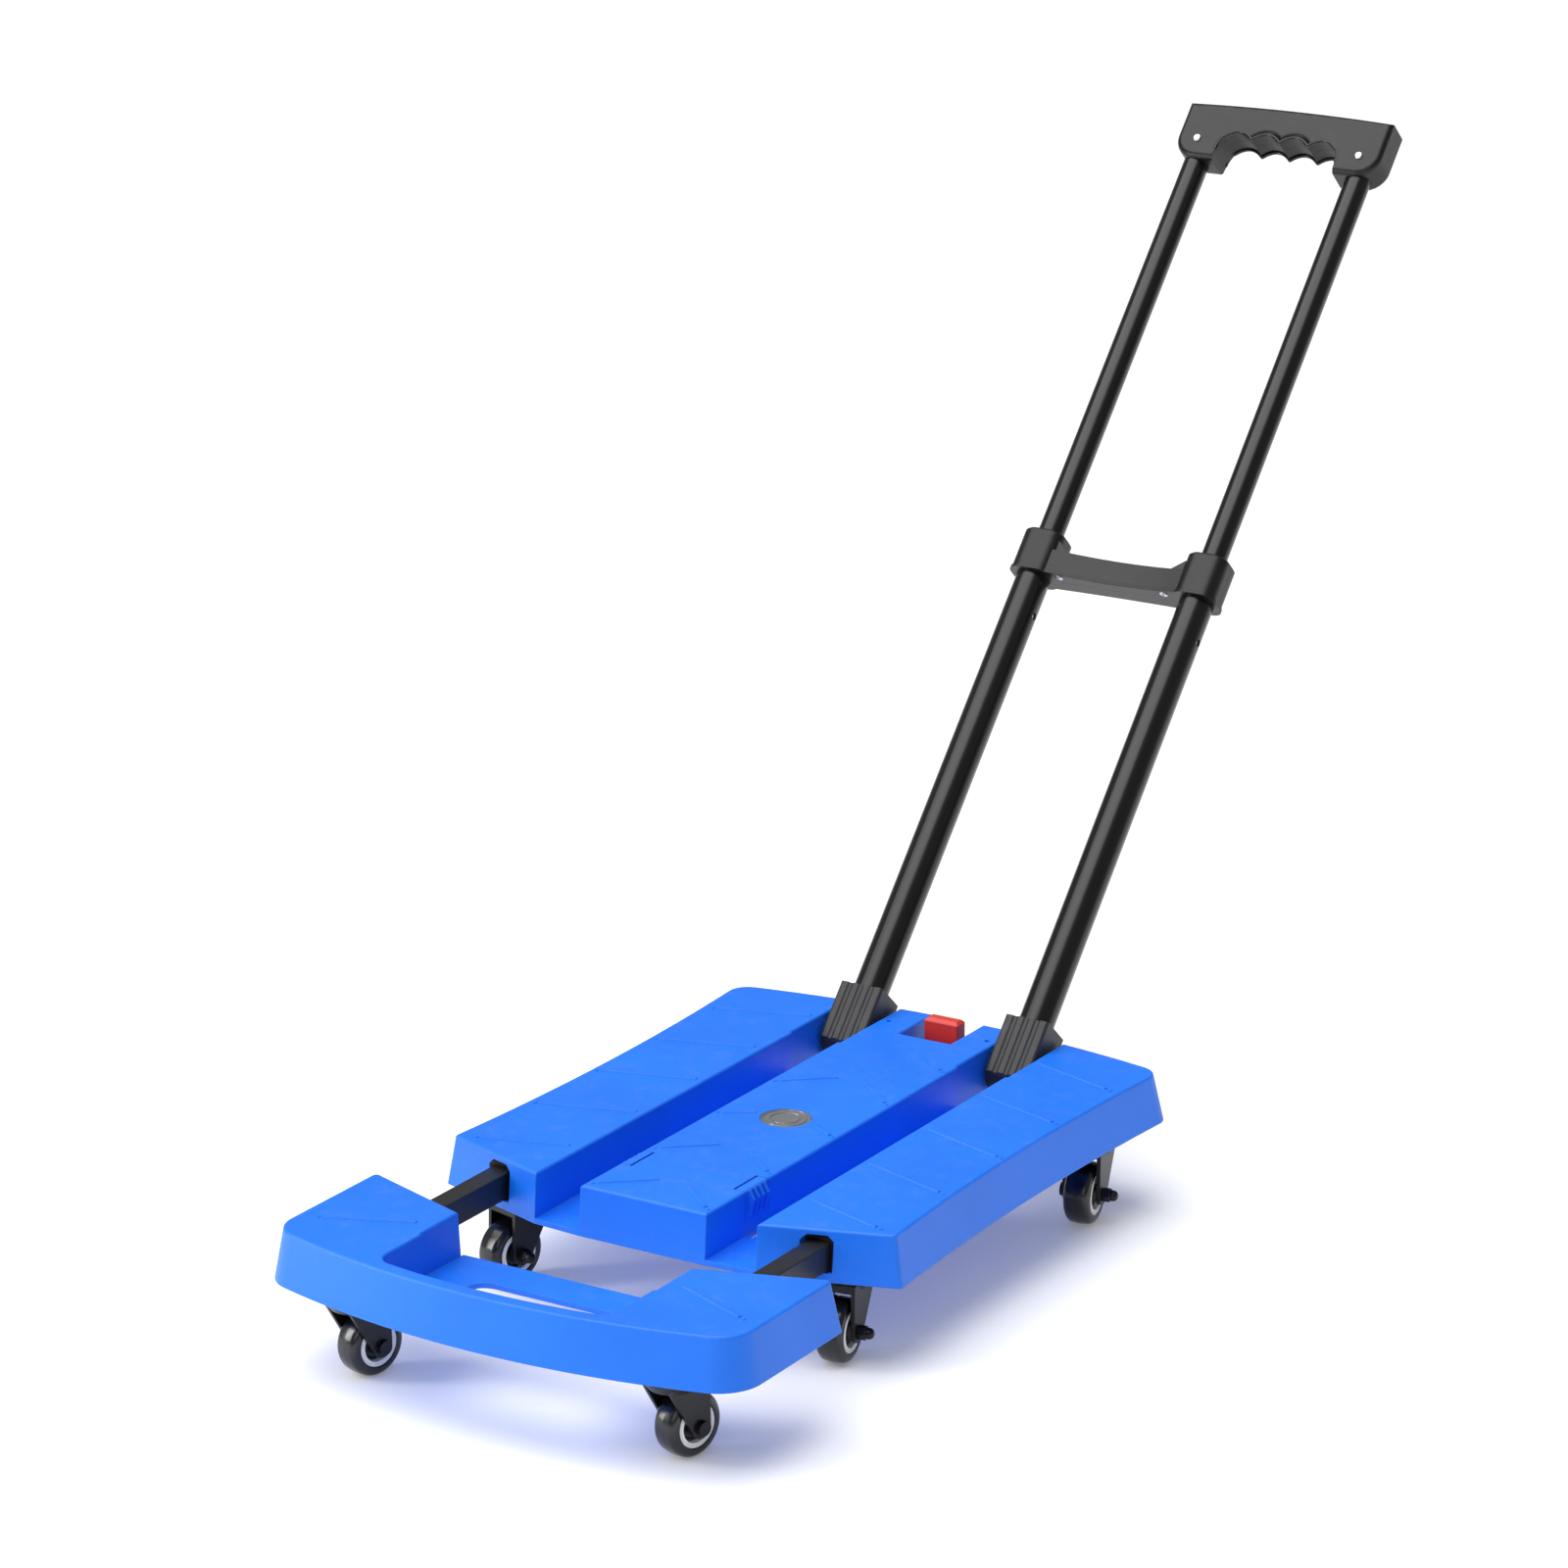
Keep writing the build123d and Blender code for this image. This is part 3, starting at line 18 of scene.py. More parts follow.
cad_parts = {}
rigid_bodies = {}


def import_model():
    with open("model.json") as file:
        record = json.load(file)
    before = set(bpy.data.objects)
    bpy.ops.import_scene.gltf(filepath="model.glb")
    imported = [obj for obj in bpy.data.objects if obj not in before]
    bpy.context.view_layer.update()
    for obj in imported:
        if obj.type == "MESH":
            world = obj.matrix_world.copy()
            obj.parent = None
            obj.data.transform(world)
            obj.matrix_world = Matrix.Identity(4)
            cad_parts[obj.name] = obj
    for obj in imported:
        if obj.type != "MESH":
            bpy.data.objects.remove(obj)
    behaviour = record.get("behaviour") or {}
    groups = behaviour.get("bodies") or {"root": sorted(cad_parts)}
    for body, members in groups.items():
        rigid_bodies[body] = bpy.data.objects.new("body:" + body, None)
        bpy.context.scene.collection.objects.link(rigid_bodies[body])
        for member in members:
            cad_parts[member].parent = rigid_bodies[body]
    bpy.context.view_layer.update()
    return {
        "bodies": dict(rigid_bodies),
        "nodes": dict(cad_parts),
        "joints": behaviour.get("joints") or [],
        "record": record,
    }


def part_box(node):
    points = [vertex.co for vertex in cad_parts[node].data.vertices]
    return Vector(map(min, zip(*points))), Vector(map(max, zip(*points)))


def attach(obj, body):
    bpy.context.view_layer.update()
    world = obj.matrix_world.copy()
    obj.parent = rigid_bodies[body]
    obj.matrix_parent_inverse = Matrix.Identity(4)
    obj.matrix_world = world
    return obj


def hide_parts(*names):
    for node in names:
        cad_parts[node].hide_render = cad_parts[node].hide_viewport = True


LOG = logging.getLogger("platform_cart")
CASTERS = ("front_left", "front_right", "mid_left", "mid_right", "rear_left", "rear_right")
MM = 0.001


# ---------------------------------------------------------------- shader writing


class ShaderWriter:
    """Adds and joins nodes in one shader tree."""

    def __init__(self, tree: bpy.types.NodeTree) -> None:
        """Keeps the tree that the nodes go into."""
        self.tree = tree

    def add(self, kind: str, **settings: Any) -> bpy.types.Node:
        """Adds a node.

        Args:
            kind: The node's type, without its ShaderNode prefix.
            settings: Properties of the node, or values of its inputs, spaces as underscores.

        Returns:
            The new node.
        """
        node = self.tree.nodes.new(kind if kind.startswith("Node") else "ShaderNode" + kind)
        for key, value in settings.items():
            if hasattr(node, key):
                setattr(node, key, value)
            else:
                node.inputs[key.replace("_", " ")].default_value = value
        return node

    def link(self, source: bpy.types.NodeSocket, target: bpy.types.NodeSocket) -> None:
        """Joins an output to an input."""
        self.tree.links.new(source, target)

    def maths(self, operation: str, first: Any, second: Any = 0.5) -> bpy.types.NodeSocket:
        """Adds a Math node.

        Args:
            operation: The Math node's operation.
            first: A socket or a number.
            second: A socket or a number.

        Returns:
            The node's output socket.
        """
        node = self.add("Math", operation=operation)
        for socket, value in zip(node.inputs, (first, second)):
            if isinstance(value, bpy.types.NodeSocket):
                self.link(value, socket)
            else:
                socket.default_value = value
        return node.outputs[0]

    def ramp(self, value: bpy.types.NodeSocket, low: float, high: float) -> bpy.types.NodeSocket:
        """Turns a value into 0 below low and 1 above high, smoothly between.

        Args:
            value: The socket to read.
            low: Where the result leaves 0.
            high: Where the result reaches 1.

        Returns:
            The result's socket.
        """
        node = self.add("MapRange", interpolation_type="SMOOTHSTEP", clamp=True)
        self.link(value, node.inputs["Value"])
        node.inputs["From Min"].default_value = low
        node.inputs["From Max"].default_value = high
        return node.outputs["Result"]


def new_group(name: str, inputs: dict[str, float], outputs: dict[str, str]) -> tuple:
    """Starts a shader node group.

    Args:
        name: The group's name.
        inputs: Each float input and its default.
        outputs: Each output and its socket type.

    Returns:
        The group's writer, its input node and its output node.
    """
    tree = bpy.data.node_groups.new(name, "ShaderNodeTree")
    for label, default in inputs.items():
        socket = tree.interface.new_socket(label, in_out="INPUT", socket_type="NodeSocketFloat")
        socket.default_value = default
    for label, kind in outputs.items():
        tree.interface.new_socket(label, in_out="OUTPUT", socket_type=kind)
    writer = ShaderWriter(tree)
    return writer, writer.add("NodeGroupInput"), writer.add("NodeGroupOutput")


class Pattern(Enum):
    """The fine relief that a tool or a process leaves on a surface."""

    SPARK = "spark_eroded"
    PEEL = "orange_peel"
    BRUSHED = "drawn_lines"
    SATIN = "satin_moulded"


PATTERN_STRETCH = {
    Pattern.SPARK: (1.0, 1.0, 1.0),
    Pattern.PEEL: (1.0, 1.0, 1.0),
    Pattern.BRUSHED: (0.03, 1.0, 1.0),
    Pattern.SATIN: (1.0, 1.0, 1.0),
}
PATTERN_DETAIL = {Pattern.SPARK: 4.0, Pattern.PEEL: 1.0, Pattern.BRUSHED: 2.0, Pattern.SATIN: 3.0}


class SharedEffects:
    """The shader groups that more than one finish uses, each built once."""

    def __init__(self) -> None:
        """Builds every group."""
        self.relief = {pattern: self._relief(pattern) for pattern in Pattern}
        self.tone = self._tone()
        self.dust = self._dust()
        self.wear = self._wear()

    def _relief(self, pattern: Pattern) -> bpy.types.NodeTree:
        """Builds the fine relief of one pattern, with a gloss value that follows it."""
        writer, source, result = new_group(
            pattern.value, {"Scale": 900.0},
            {"Height": "NodeSocketFloat", "Gloss": "NodeSocketFloat"})
        place = writer.add("TexCoord")
        stretch = writer.add("Mapping", vector_type="POINT")
        stretch.inputs["Scale"].default_value = PATTERN_STRETCH[pattern]
        writer.link(place.outputs["Object"], stretch.inputs["Vector"])
        noise = writer.add("TexNoise", Detail=PATTERN_DETAIL[pattern], Roughness=0.6)
        writer.link(stretch.outputs["Vector"], noise.inputs["Vector"])
        writer.link(source.outputs["Scale"], noise.inputs["Scale"])
        height = noise.outputs["Fac"]
        if pattern is Pattern.SPARK:
            pits = writer.add("TexVoronoi", feature="SMOOTH_F1", Smoothness=0.6)
            writer.link(stretch.outputs["Vector"], pits.inputs["Vector"])
            writer.link(writer.maths("MULTIPLY", source.outputs["Scale"], 0.8), pits.inputs["Scale"])
            height = writer.maths("ADD", writer.maths("MULTIPLY", height, 0.6),
                                  writer.maths("MULTIPLY", pits.outputs["Distance"], 0.4))
        writer.link(height, result.inputs["Height"])
        broad = writer.add("TexNoise", Detail=3.0, Roughness=0.55)
        writer.link(place.outputs["Object"], broad.inputs["Vector"])
        writer.link(writer.maths("MULTIPLY", source.outputs["Scale"], 0.03), broad.inputs["Scale"])
        gloss = writer.maths("ADD", writer.maths("MULTIPLY", broad.outputs["Fac"], 0.7),
                             writer.maths("MULTIPLY", noise.outputs["Fac"], 0.3))
        writer.link(gloss, result.inputs["Gloss"])
        return writer.tree

    def _tone(self) -> bpy.types.NodeTree:
        """Builds the slow lightening and darkening of a moulded or painted colour."""
        writer, source, result = new_group(
            "colour_drift", {"Scale": 9.0}, {"Drift": "NodeSocketFloat"})
        place = writer.add("TexCoord")
        slow = writer.add("TexNoise", Detail=4.0, Roughness=0.5, Distortion=0.6)
        writer.link(place.outputs["Object"], slow.inputs["Vector"])
        writer.link(source.outputs["Scale"], slow.inputs["Scale"])
        writer.link(writer.ramp(slow.outputs["Fac"], 0.25, 0.75), result.inputs["Drift"])
        return writer.tree

    def _dust(self) -> bpy.types.NodeTree:
        """Builds a mask of fine dust that settles on faces that look up."""
        writer, source, result = new_group(
            "settled_dust", {"Scale": 60.0, "Amount": 0.2}, {"Mask": "NodeSocketFloat"})
        place = writer.add("TexCoord")
        specks = writer.add("TexNoise", Detail=8.0, Roughness=0.75)
        writer.link(place.outputs["Object"], specks.inputs["Vector"])
        writer.link(source.outputs["Scale"], specks.inputs["Scale"])
        facing = writer.add("SeparateXYZ")
        writer.link(writer.add("NewGeometry").outputs["Normal"], facing.inputs[0])
        up = writer.ramp(facing.outputs["Z"], 0.2, 0.9)
        patch = writer.ramp(specks.outputs["Fac"], 0.48, 0.74)
        mask = writer.maths("MULTIPLY", writer.maths("MULTIPLY", up, patch), source.outputs["Amount"])
        writer.link(mask, result.inputs["Mask"])
        return writer.tree

    def _wear(self) -> bpy.types.NodeTree:
        """Builds a mask of the rubbed line that handling leaves along sharp edges."""
        writer, source, result = new_group(
            "edge_wear", {"Width": 0.0008, "Scale": 140.0}, {"Mask": "NodeSocketFloat"})
        soft = writer.add("Bevel", samples=4)
        writer.link(source.outputs["Width"], soft.inputs["Radius"])
        turn = writer.add("VectorMath", operation="DOT_PRODUCT")
        writer.link(soft.outputs["Normal"], turn.inputs[0])
        writer.link(writer.add("NewGeometry").outputs["Normal"], turn.inputs[1])
        edge = writer.ramp(writer.maths("SUBTRACT", 1.0, turn.outputs["Value"]), 0.04, 0.3)
        place = writer.add("TexCoord")
        broken = writer.add("TexNoise", Detail=6.0, Roughness=0.7)
        writer.link(place.outputs["Object"], broken.inputs["Vector"])
        writer.link(source.outputs["Scale"], broken.inputs["Scale"])
        mask = writer.maths("MULTIPLY", edge, writer.ramp(broken.outputs["Fac"], 0.35, 0.65))
        writer.link(mask, result.inputs["Mask"])
        return writer.tree


# ---------------------------------------------------------------- finishes


@dataclass(frozen=True)
class Finish:
    """One surface finish: its colour, gloss, relief and wear."""

    name: str
    colour: tuple[float, float, float]
    roughness: float
    pattern: Pattern
    relief_scale: float = 900.0
    relief_depth: float = 0.00006
    metallic: float = 0.0
    specular: float = 0.5
    coat: float = 0.0
    coat_roughness: float = 0.08
    drift: float = 0.08
    drift_scale: float = 9.0
    gloss_spread: float = 0.12
    wear: float = 0.25
    wear_colour: tuple[float, float, float] = (0.5, 0.5, 0.5)
    dust: float = 0.05
    edge_round: float = 0.0006

    def material(self, effects: SharedEffects) -> bpy.types.Material:
        """Builds the finish as a material.

        Args:
            effects: The shared shader groups.

        Returns:
            The material.
        """
        material = bpy.data.materials.new(self.name)
        material.use_nodes = True
        material.diffuse_color = (*self.colour, 1.0)
        material.node_tree.nodes.clear()
        writer = ShaderWriter(material.node_tree)
        surface = writer.add("BsdfPrincipled", Metallic=self.metallic, Coat_Weight=self.coat,
                             Coat_Roughness=self.coat_roughness, Specular_IOR_Level=self.specular)
        writer.link(surface.outputs["BSDF"], writer.add("OutputMaterial").inputs["Surface"])
        relief = self._group(writer, effects.relief[self.pattern], Scale=self.relief_scale)
        dust = self._group(writer, effects.dust, Amount=self.dust)
        wear = self._group(writer, effects.wear, Width=self.edge_round * 1.4)
        worn = writer.maths("MULTIPLY", wear.outputs["Mask"], self.wear)
        writer.link(self._colour(writer, effects, worn, dust.outputs["Mask"]),
                    surface.inputs["Base Color"])
        gloss = writer.maths("MULTIPLY", writer.maths("SUBTRACT", relief.outputs["Gloss"], 0.5),
                             self.gloss_spread)
        rough = writer.maths("ADD", writer.maths("ADD", gloss, self.roughness),
                             writer.maths("MULTIPLY", dust.outputs["Mask"], 0.5))
        writer.link(rough, surface.inputs["Roughness"])
        writer.link(self._normal(writer, relief), surface.inputs["Normal"])
        return material

    def _group(self, writer: ShaderWriter, tree: bpy.types.NodeTree, **values: float) -> bpy.types.Node:
        """Places a shared group with this finish's own values."""
        node = writer.add("Group")
        node.node_tree = tree
        for label, value in values.items():
            node.inputs[label].default_value = value
        return node

    def _colour(self, writer: ShaderWriter, effects: SharedEffects, worn: bpy.types.NodeSocket,
                dust: bpy.types.NodeSocket) -> bpy.types.NodeSocket:
        """Mixes the base colour with its drift, its worn edges and its dust.

        Args:
            writer: The material's writer.
            effects: The shared shader groups.
            worn: The mask of worn edges.
            dust: The mask of settled dust.

        Returns:
            The socket of the mixed colour.
        """
        drift = self._group(writer, effects.tone, Scale=self.drift_scale)
        colour = writer.add("Mix", data_type="RGBA")
        writer.link(drift.outputs["Drift"], colour.inputs["Factor"])
        for socket, gain in (("A", 1.0 - self.drift), ("B", 1.0 + self.drift)):
            shade = [min(1.0, channel * gain) for channel in self.colour]
            self._colour_input(colour, socket).default_value = (*shade, 1.0)
        result = self._colour_output(colour)
        for mask, tint in ((worn, self.wear_colour), (dust, (0.55, 0.54, 0.52))):
            layer = writer.add("Mix", data_type="RGBA")
            writer.link(mask, layer.inputs["Factor"])
            writer.link(result, self._colour_input(layer, "A"))
            self._colour_input(layer, "B").default_value = (*tint, 1.0)
            result = self._colour_output(layer)
        return result

    def _colour_input(self, node: bpy.types.Node, label: str) -> bpy.types.NodeSocket:
        """The colour input of a Mix node with that label."""
        return next(s for s in node.inputs if s.name == label and s.type == "RGBA")

    def _colour_output(self, node: bpy.types.Node) -> bpy.types.NodeSocket:
        """The colour output of a Mix node."""
        return next(s for s in node.outputs if s.type == "RGBA")

    def _normal(self, writer: ShaderWriter, relief: bpy.types.Node) -> bpy.types.NodeSocket:
        """Rounds the edges a little and lays the fine relief on them."""
        soft = writer.add("Bevel", samples=4, Radius=self.edge_round)
        bump = writer.add("Bump", Strength=1.0, Distance=self.relief_depth)
        writer.link(relief.outputs["Height"], bump.inputs["Height"])
        writer.link(soft.outputs["Normal"], bump.inputs["Normal"])
        return bump.outputs["Normal"]


FINISHES = {
    "blue_plastic": Finish(
        "blue_spark_textured_plastic", (0.004, 0.165, 0.850), 0.44, Pattern.SPARK,
        relief_scale=850.0, relief_depth=0.00022, specular=0.42, drift=0.07, drift_scale=7.0,
        wear=0.35, wear_colour=(0.12, 0.36, 0.95), dust=0.05, edge_round=0.0012),
    "red_plastic": Finish(
        "red_satin_plastic", (0.640, 0.035, 0.022), 0.36, Pattern.SATIN, relief_scale=700.0,
        relief_depth=0.00010, drift=0.06, wear=0.4, wear_colour=(0.85, 0.25, 0.2), edge_round=0.0012),
    "black_plastic": Finish(
        "black_satin_plastic", (0.0035, 0.0035, 0.0042), 0.34, Pattern.SATIN, relief_scale=900.0,
        relief_depth=0.00010, specular=0.38, wear=0.16, wear_colour=(0.08, 0.08, 0.09),
        dust=0.015, edge_round=0.0010),
    "guide_plastic": Finish(
        "black_slide_plastic", (0.0030, 0.0030, 0.0034), 0.52, Pattern.SATIN, specular=0.3,
        wear=0.1, wear_colour=(0.06, 0.06, 0.06), dust=0.01),
    "collar_plastic": Finish(
        "dark_grey_collar_plastic", (0.021, 0.021, 0.023), 0.42, Pattern.SPARK, relief_scale=1200.0,
        relief_depth=0.00014, specular=0.45, wear=0.25, wear_colour=(0.12, 0.12, 0.125),
        edge_round=0.0010),
    "black_paint": Finish(
        "black_gloss_powder_paint", (0.0018, 0.0018, 0.0024), 0.26, Pattern.PEEL, relief_scale=420.0,
        relief_depth=0.00003, specular=0.34, coat=0.25, coat_roughness=0.12, gloss_spread=0.06,
        wear=0.12, wear_colour=(0.1, 0.1, 0.11), dust=0.0),
    "tube_paint": Finish(
        "black_satin_tube_paint", (0.0060, 0.0062, 0.0070), 0.40, Pattern.PEEL, relief_scale=600.0,
        relief_depth=0.00006, specular=0.5, gloss_spread=0.1, wear=0.3,
        wear_colour=(0.16, 0.16, 0.17), dust=0.02, edge_round=0.0010),
    "black_zinc": Finish(
        "black_zinc_plate", (0.020, 0.020, 0.023), 0.30, Pattern.PEEL, relief_scale=900.0,
        metallic=0.75, wear=0.3, wear_colour=(0.22, 0.22, 0.22), dust=0.0),
    "steel": Finish(
        "bright_zinc_steel", (0.62, 0.62, 0.64), 0.26, Pattern.BRUSHED, relief_scale=2600.0,
        relief_depth=0.00002, metallic=1.0, drift=0.1, wear=0.1, wear_colour=(0.8, 0.8, 0.8),
        dust=0.0, edge_round=0.0004),
    "hub_plastic": Finish(
        "white_gloss_hub_plastic", (0.86, 0.86, 0.85), 0.20, Pattern.SATIN, relief_scale=500.0,
        relief_depth=0.00004, drift=0.03, wear=0.1, wear_colour=(0.6, 0.6, 0.58), dust=0.04,
        edge_round=0.0004),
    "tyre_rubber": Finish(
        "black_gloss_tyre", (0.0042, 0.0043, 0.0052), 0.24, Pattern.SATIN, relief_scale=420.0,
        relief_depth=0.00006, specular=0.5, coat=0.15, coat_roughness=0.15, wear=0.1,
        wear_colour=(0.05, 0.05, 0.05), dust=0.05),
    "badge_metal": Finish(
        "satin_aluminium_badge", (0.40, 0.41, 0.43), 0.34, Pattern.BRUSHED, relief_scale=1800.0,
        relief_depth=0.00002, metallic=0.85, drift=0.1, wear=0.3, wear_colour=(0.75, 0.75, 0.77),
        edge_round=0.0003),
}
# Painted shade: this near-black colour on the disc inside each hub rim stands for the shadow in the hub's
# recess.
RECESS_SHADE_FINISH = Finish(
    "hub_recess_painted_shade", (0.010, 0.010, 0.012), 0.38, Pattern.SATIN, wear=0.15,
    wear_colour=(0.1, 0.1, 0.1), dust=0.02, edge_round=0.0004)


class PaintShop:
    """Holds the materials by slot and puts them on pieces."""

    def __init__(self) -> None:
        """Builds every material once."""
        effects = SharedEffects()
        self.by_slot = {slot: finish.material(effects) for slot, finish in FINISHES.items()}
        # The painted shade for the hub recesses.
        self.recess_shade = RECESS_SHADE_FINISH.material(effects)

    def dress_node(self, node: bpy.types.Object, slot: str) -> None:
        """Puts a slot's material on every material slot of a CAD node.

        Args:
            node: The CAD node's object.
            slot: The record's material slot.
        """
        for place in node.material_slots:
            place.material = self.by_slot[slot]

    def dress_frame(self, frame: dict) -> None:
        """Dresses every CAD node as the record names its slot.

        Args:
            frame: The loaded frame.
        """
        for part in frame["record"]["subparts"]:
            self.dress_node(frame["nodes"][part["node"]], part["material_slot"])
            LOG.info("dressed %s in %s", part["node"], part["material_slot"])


# ---------------------------------------------------------------- piece making


def place_piece(name: str, mesh: bpy.types.Mesh, body: str,
                stands_for: Iterable[str] = ()) -> bpy.types.Object:
    """Adds a finished mesh as a piece of the cart.

    Args:
        name: The piece's name.
        mesh: Its mesh, in the cart's frame.
        body: The body it moves with.
        stands_for: The CAD nodes that it replaces.

    Returns:
        The piece.
    """
    piece = bpy.data.objects.new(name, mesh)
    bpy.context.collection.objects.link(piece)
    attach(piece, body)
    if stands_for:
        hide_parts(*stands_for)
    LOG.info("%s rides on %s with %d faces", name, body, len(mesh.polygons))
    return piece


class GeometryTree:
    """A Geometry Nodes tree that grows a piece from a mesh of points or edges."""

    def __init__(self, name: str, inputs: dict[str, tuple[str, Any]]) -> None:
        """Starts the tree.

        Args:
            name: The tree's name.
            inputs: Each named input, its socket type without NodeSocket, and its default.
        """
        self.tree = bpy.data.node_groups.new(name, "GeometryNodeTree")
        face = self.tree.interface
        face.new_socket("Geometry", in_out="INPUT", socket_type="NodeSocketGeometry")
        for label, (kind, default) in inputs.items():
            socket = face.new_socket(label, in_out="INPUT", socket_type="NodeSocket" + kind)
            if default is not None:
                socket.default_value = default
        face.new_socket("Material", in_out="INPUT", socket_type="NodeSocketMaterial")
        face.new_socket("Geometry", in_out="OUTPUT", socket_type="NodeSocketGeometry")
        self.source = self.tree.nodes.new("NodeGroupInput")
        self.result = self.tree.nodes.new("NodeGroupOutput")

    def add(self, kind: str, **settings: Any) -> bpy.types.Node:
        """Adds a node.

        Args:
            kind: The node's full type.
            settings: Properties of the node.

        Returns:
            The new node.
        """
        node = self.tree.nodes.new(kind)
        for key, value in settings.items():
            setattr(node, key, value)
        return node

    def feed(self, node: bpy.types.Node, **values: Any) -> bpy.types.Node:
        """Sets or joins a node's inputs by name, spaces written as underscores.

        Args:
            node: The node to feed.
            values: A socket to join or a value to set, by input name.

        Returns:
            The same node.
        """
        for label, value in values.items():
            wanted = label.replace("_", " ")
            socket = next(s for s in node.inputs if s.name == wanted and s.enabled)
            if isinstance(value, bpy.types.NodeSocket):
                self.tree.links.new(value, socket)
            else:
                socket.default_value = value
        return node

    def given(self, label: str) -> bpy.types.NodeSocket:
        """The socket of one of the tree's named inputs."""
        return self.source.outputs[label]

    def maths(self, operation: str, *values: Any) -> bpy.types.NodeSocket:
        """Adds a Math node on sockets or numbers and returns its output."""
        node = self.add("ShaderNodeMath", operation=operation)
        for socket, value in zip(node.inputs, values):
            if isinstance(value, bpy.types.NodeSocket):
                self.tree.links.new(value, socket)
            else:
                socket.default_value = value
        return node.outputs[0]

    def vector(self, x: Any = 0.0, y: Any = 0.0, z: Any = 0.0) -> bpy.types.NodeSocket:
        """Makes a vector of sockets or numbers and returns its socket."""
        return self.feed(self.add("ShaderNodeCombineXYZ"), X=x, Y=y, Z=z).outputs[0]

    def attribute(self, name: str, kind: str) -> bpy.types.NodeSocket:
        """Reads a named attribute of the base mesh and returns its socket."""
        node = self.add("GeometryNodeInputNamedAttribute", data_type=kind)
        node.inputs["Name"].default_value = name
        return next(s for s in node.outputs if s.enabled and s.name == "Attribute")

    def close(self, geometry: bpy.types.NodeSocket, smooth: bool) -> None:
        """Ends the tree: real geometry, shading and material.

        Args:
            geometry: What has been built.
            smooth: Whether its faces are shaded smooth.
        """
        real = self.feed(self.add("GeometryNodeRealizeInstances"), Geometry=geometry)
        shade = self.feed(self.add("GeometryNodeSetShadeSmooth"), Geometry=real.outputs[0],
                          Shade_Smooth=smooth)
        paint = self.feed(self.add("GeometryNodeSetMaterial"), Geometry=shade.outputs[0],
                          Material=self.given("Material"))
        self.tree.links.new(paint.outputs[0], self.result.inputs[0])

    def run(self, name: str, base: bpy.types.Mesh, values: dict[str, Any]) -> bpy.types.Mesh:
        """Runs the tree once and keeps the result as a plain mesh.

        Args:
            name: The new mesh's name.
            base: The mesh that the tree grows from.
            values: The values of the tree's named inputs.

        Returns:
            The plain mesh.
        """
        holder = bpy.data.objects.new(name + "_base", base)
        bpy.context.collection.objects.link(holder)
        modifier = holder.modifiers.new("grow", "NODES")
        modifier.node_group = self.tree
        for item in self.tree.interface.items_tree:
            if item.in_out == "INPUT" and item.name in values:
                modifier[item.identifier] = values[item.name]
        bpy.context.view_layer.update()
        graph = bpy.context.evaluated_depsgraph_get()
        mesh = bpy.data.meshes.new_from_object(holder.evaluated_get(graph), depsgraph=graph)
        holder.modifiers.remove(modifier)
        bpy.data.objects.remove(holder)
        mesh.name = name
        return mesh


def point_mesh(name: str, points: list[Vector], edges: list[tuple[int, int]] = (),
               **attributes: list[float]) -> bpy.types.Mesh:
    """Makes a mesh of points for a tree to grow from.

    Args:
        name: The mesh's name.
        points: The points' places.
        edges: Pairs of points that are joined.
        attributes: A number for each point, by attribute name.

    Returns:
        The mesh.
    """
    mesh = bpy.data.meshes.new(name)
    mesh.from_pydata([tuple(point) for point in points], list(edges), [])
    for label, numbers in attributes.items():
        layer = mesh.attributes.new(label, "FLOAT", "POINT")
        layer.data.foreach_set("value", numbers)
    return mesh


@dataclass(frozen=True)
class HandleAxes:
    """The leaning frame of the handle: the hinge's place and the poles' direction."""

    pivot: Vector
    along: Vector

    @property
    def outward(self) -> Vector:
        """The direction square to the poles, away from the load side."""
        return Vector((1.0, 0.0, 0.0)).cross(self.along) * -1.0

    def place(self, x: float, out: float, along: float) -> Vector:
        """A point at x across, out behind the poles' plane, and along the poles."""
        return self.pivot + Vector((x, 0.0, 0.0)) + self.outward * out + self.along * along

    def span(self, node: bpy.types.Object, direction: Vector) -> tuple[float, float]:
        """How far a CAD node reaches along a direction from the pivot.

        Args:
            node: The CAD node's object.
            direction: A unit direction.

        Returns:
            The least and greatest distance.
        """
        reach = [(vertex.co - self.pivot).dot(direction) for vertex in node.data.vertices]
        return min(reach), max(reach)


def joint_named(frame: dict, name: str) -> dict:
    """The record's joint of that name."""
    return next(joint for joint in frame["joints"] if joint["name"] == name)


# ---------------------------------------------------------------- deck detail


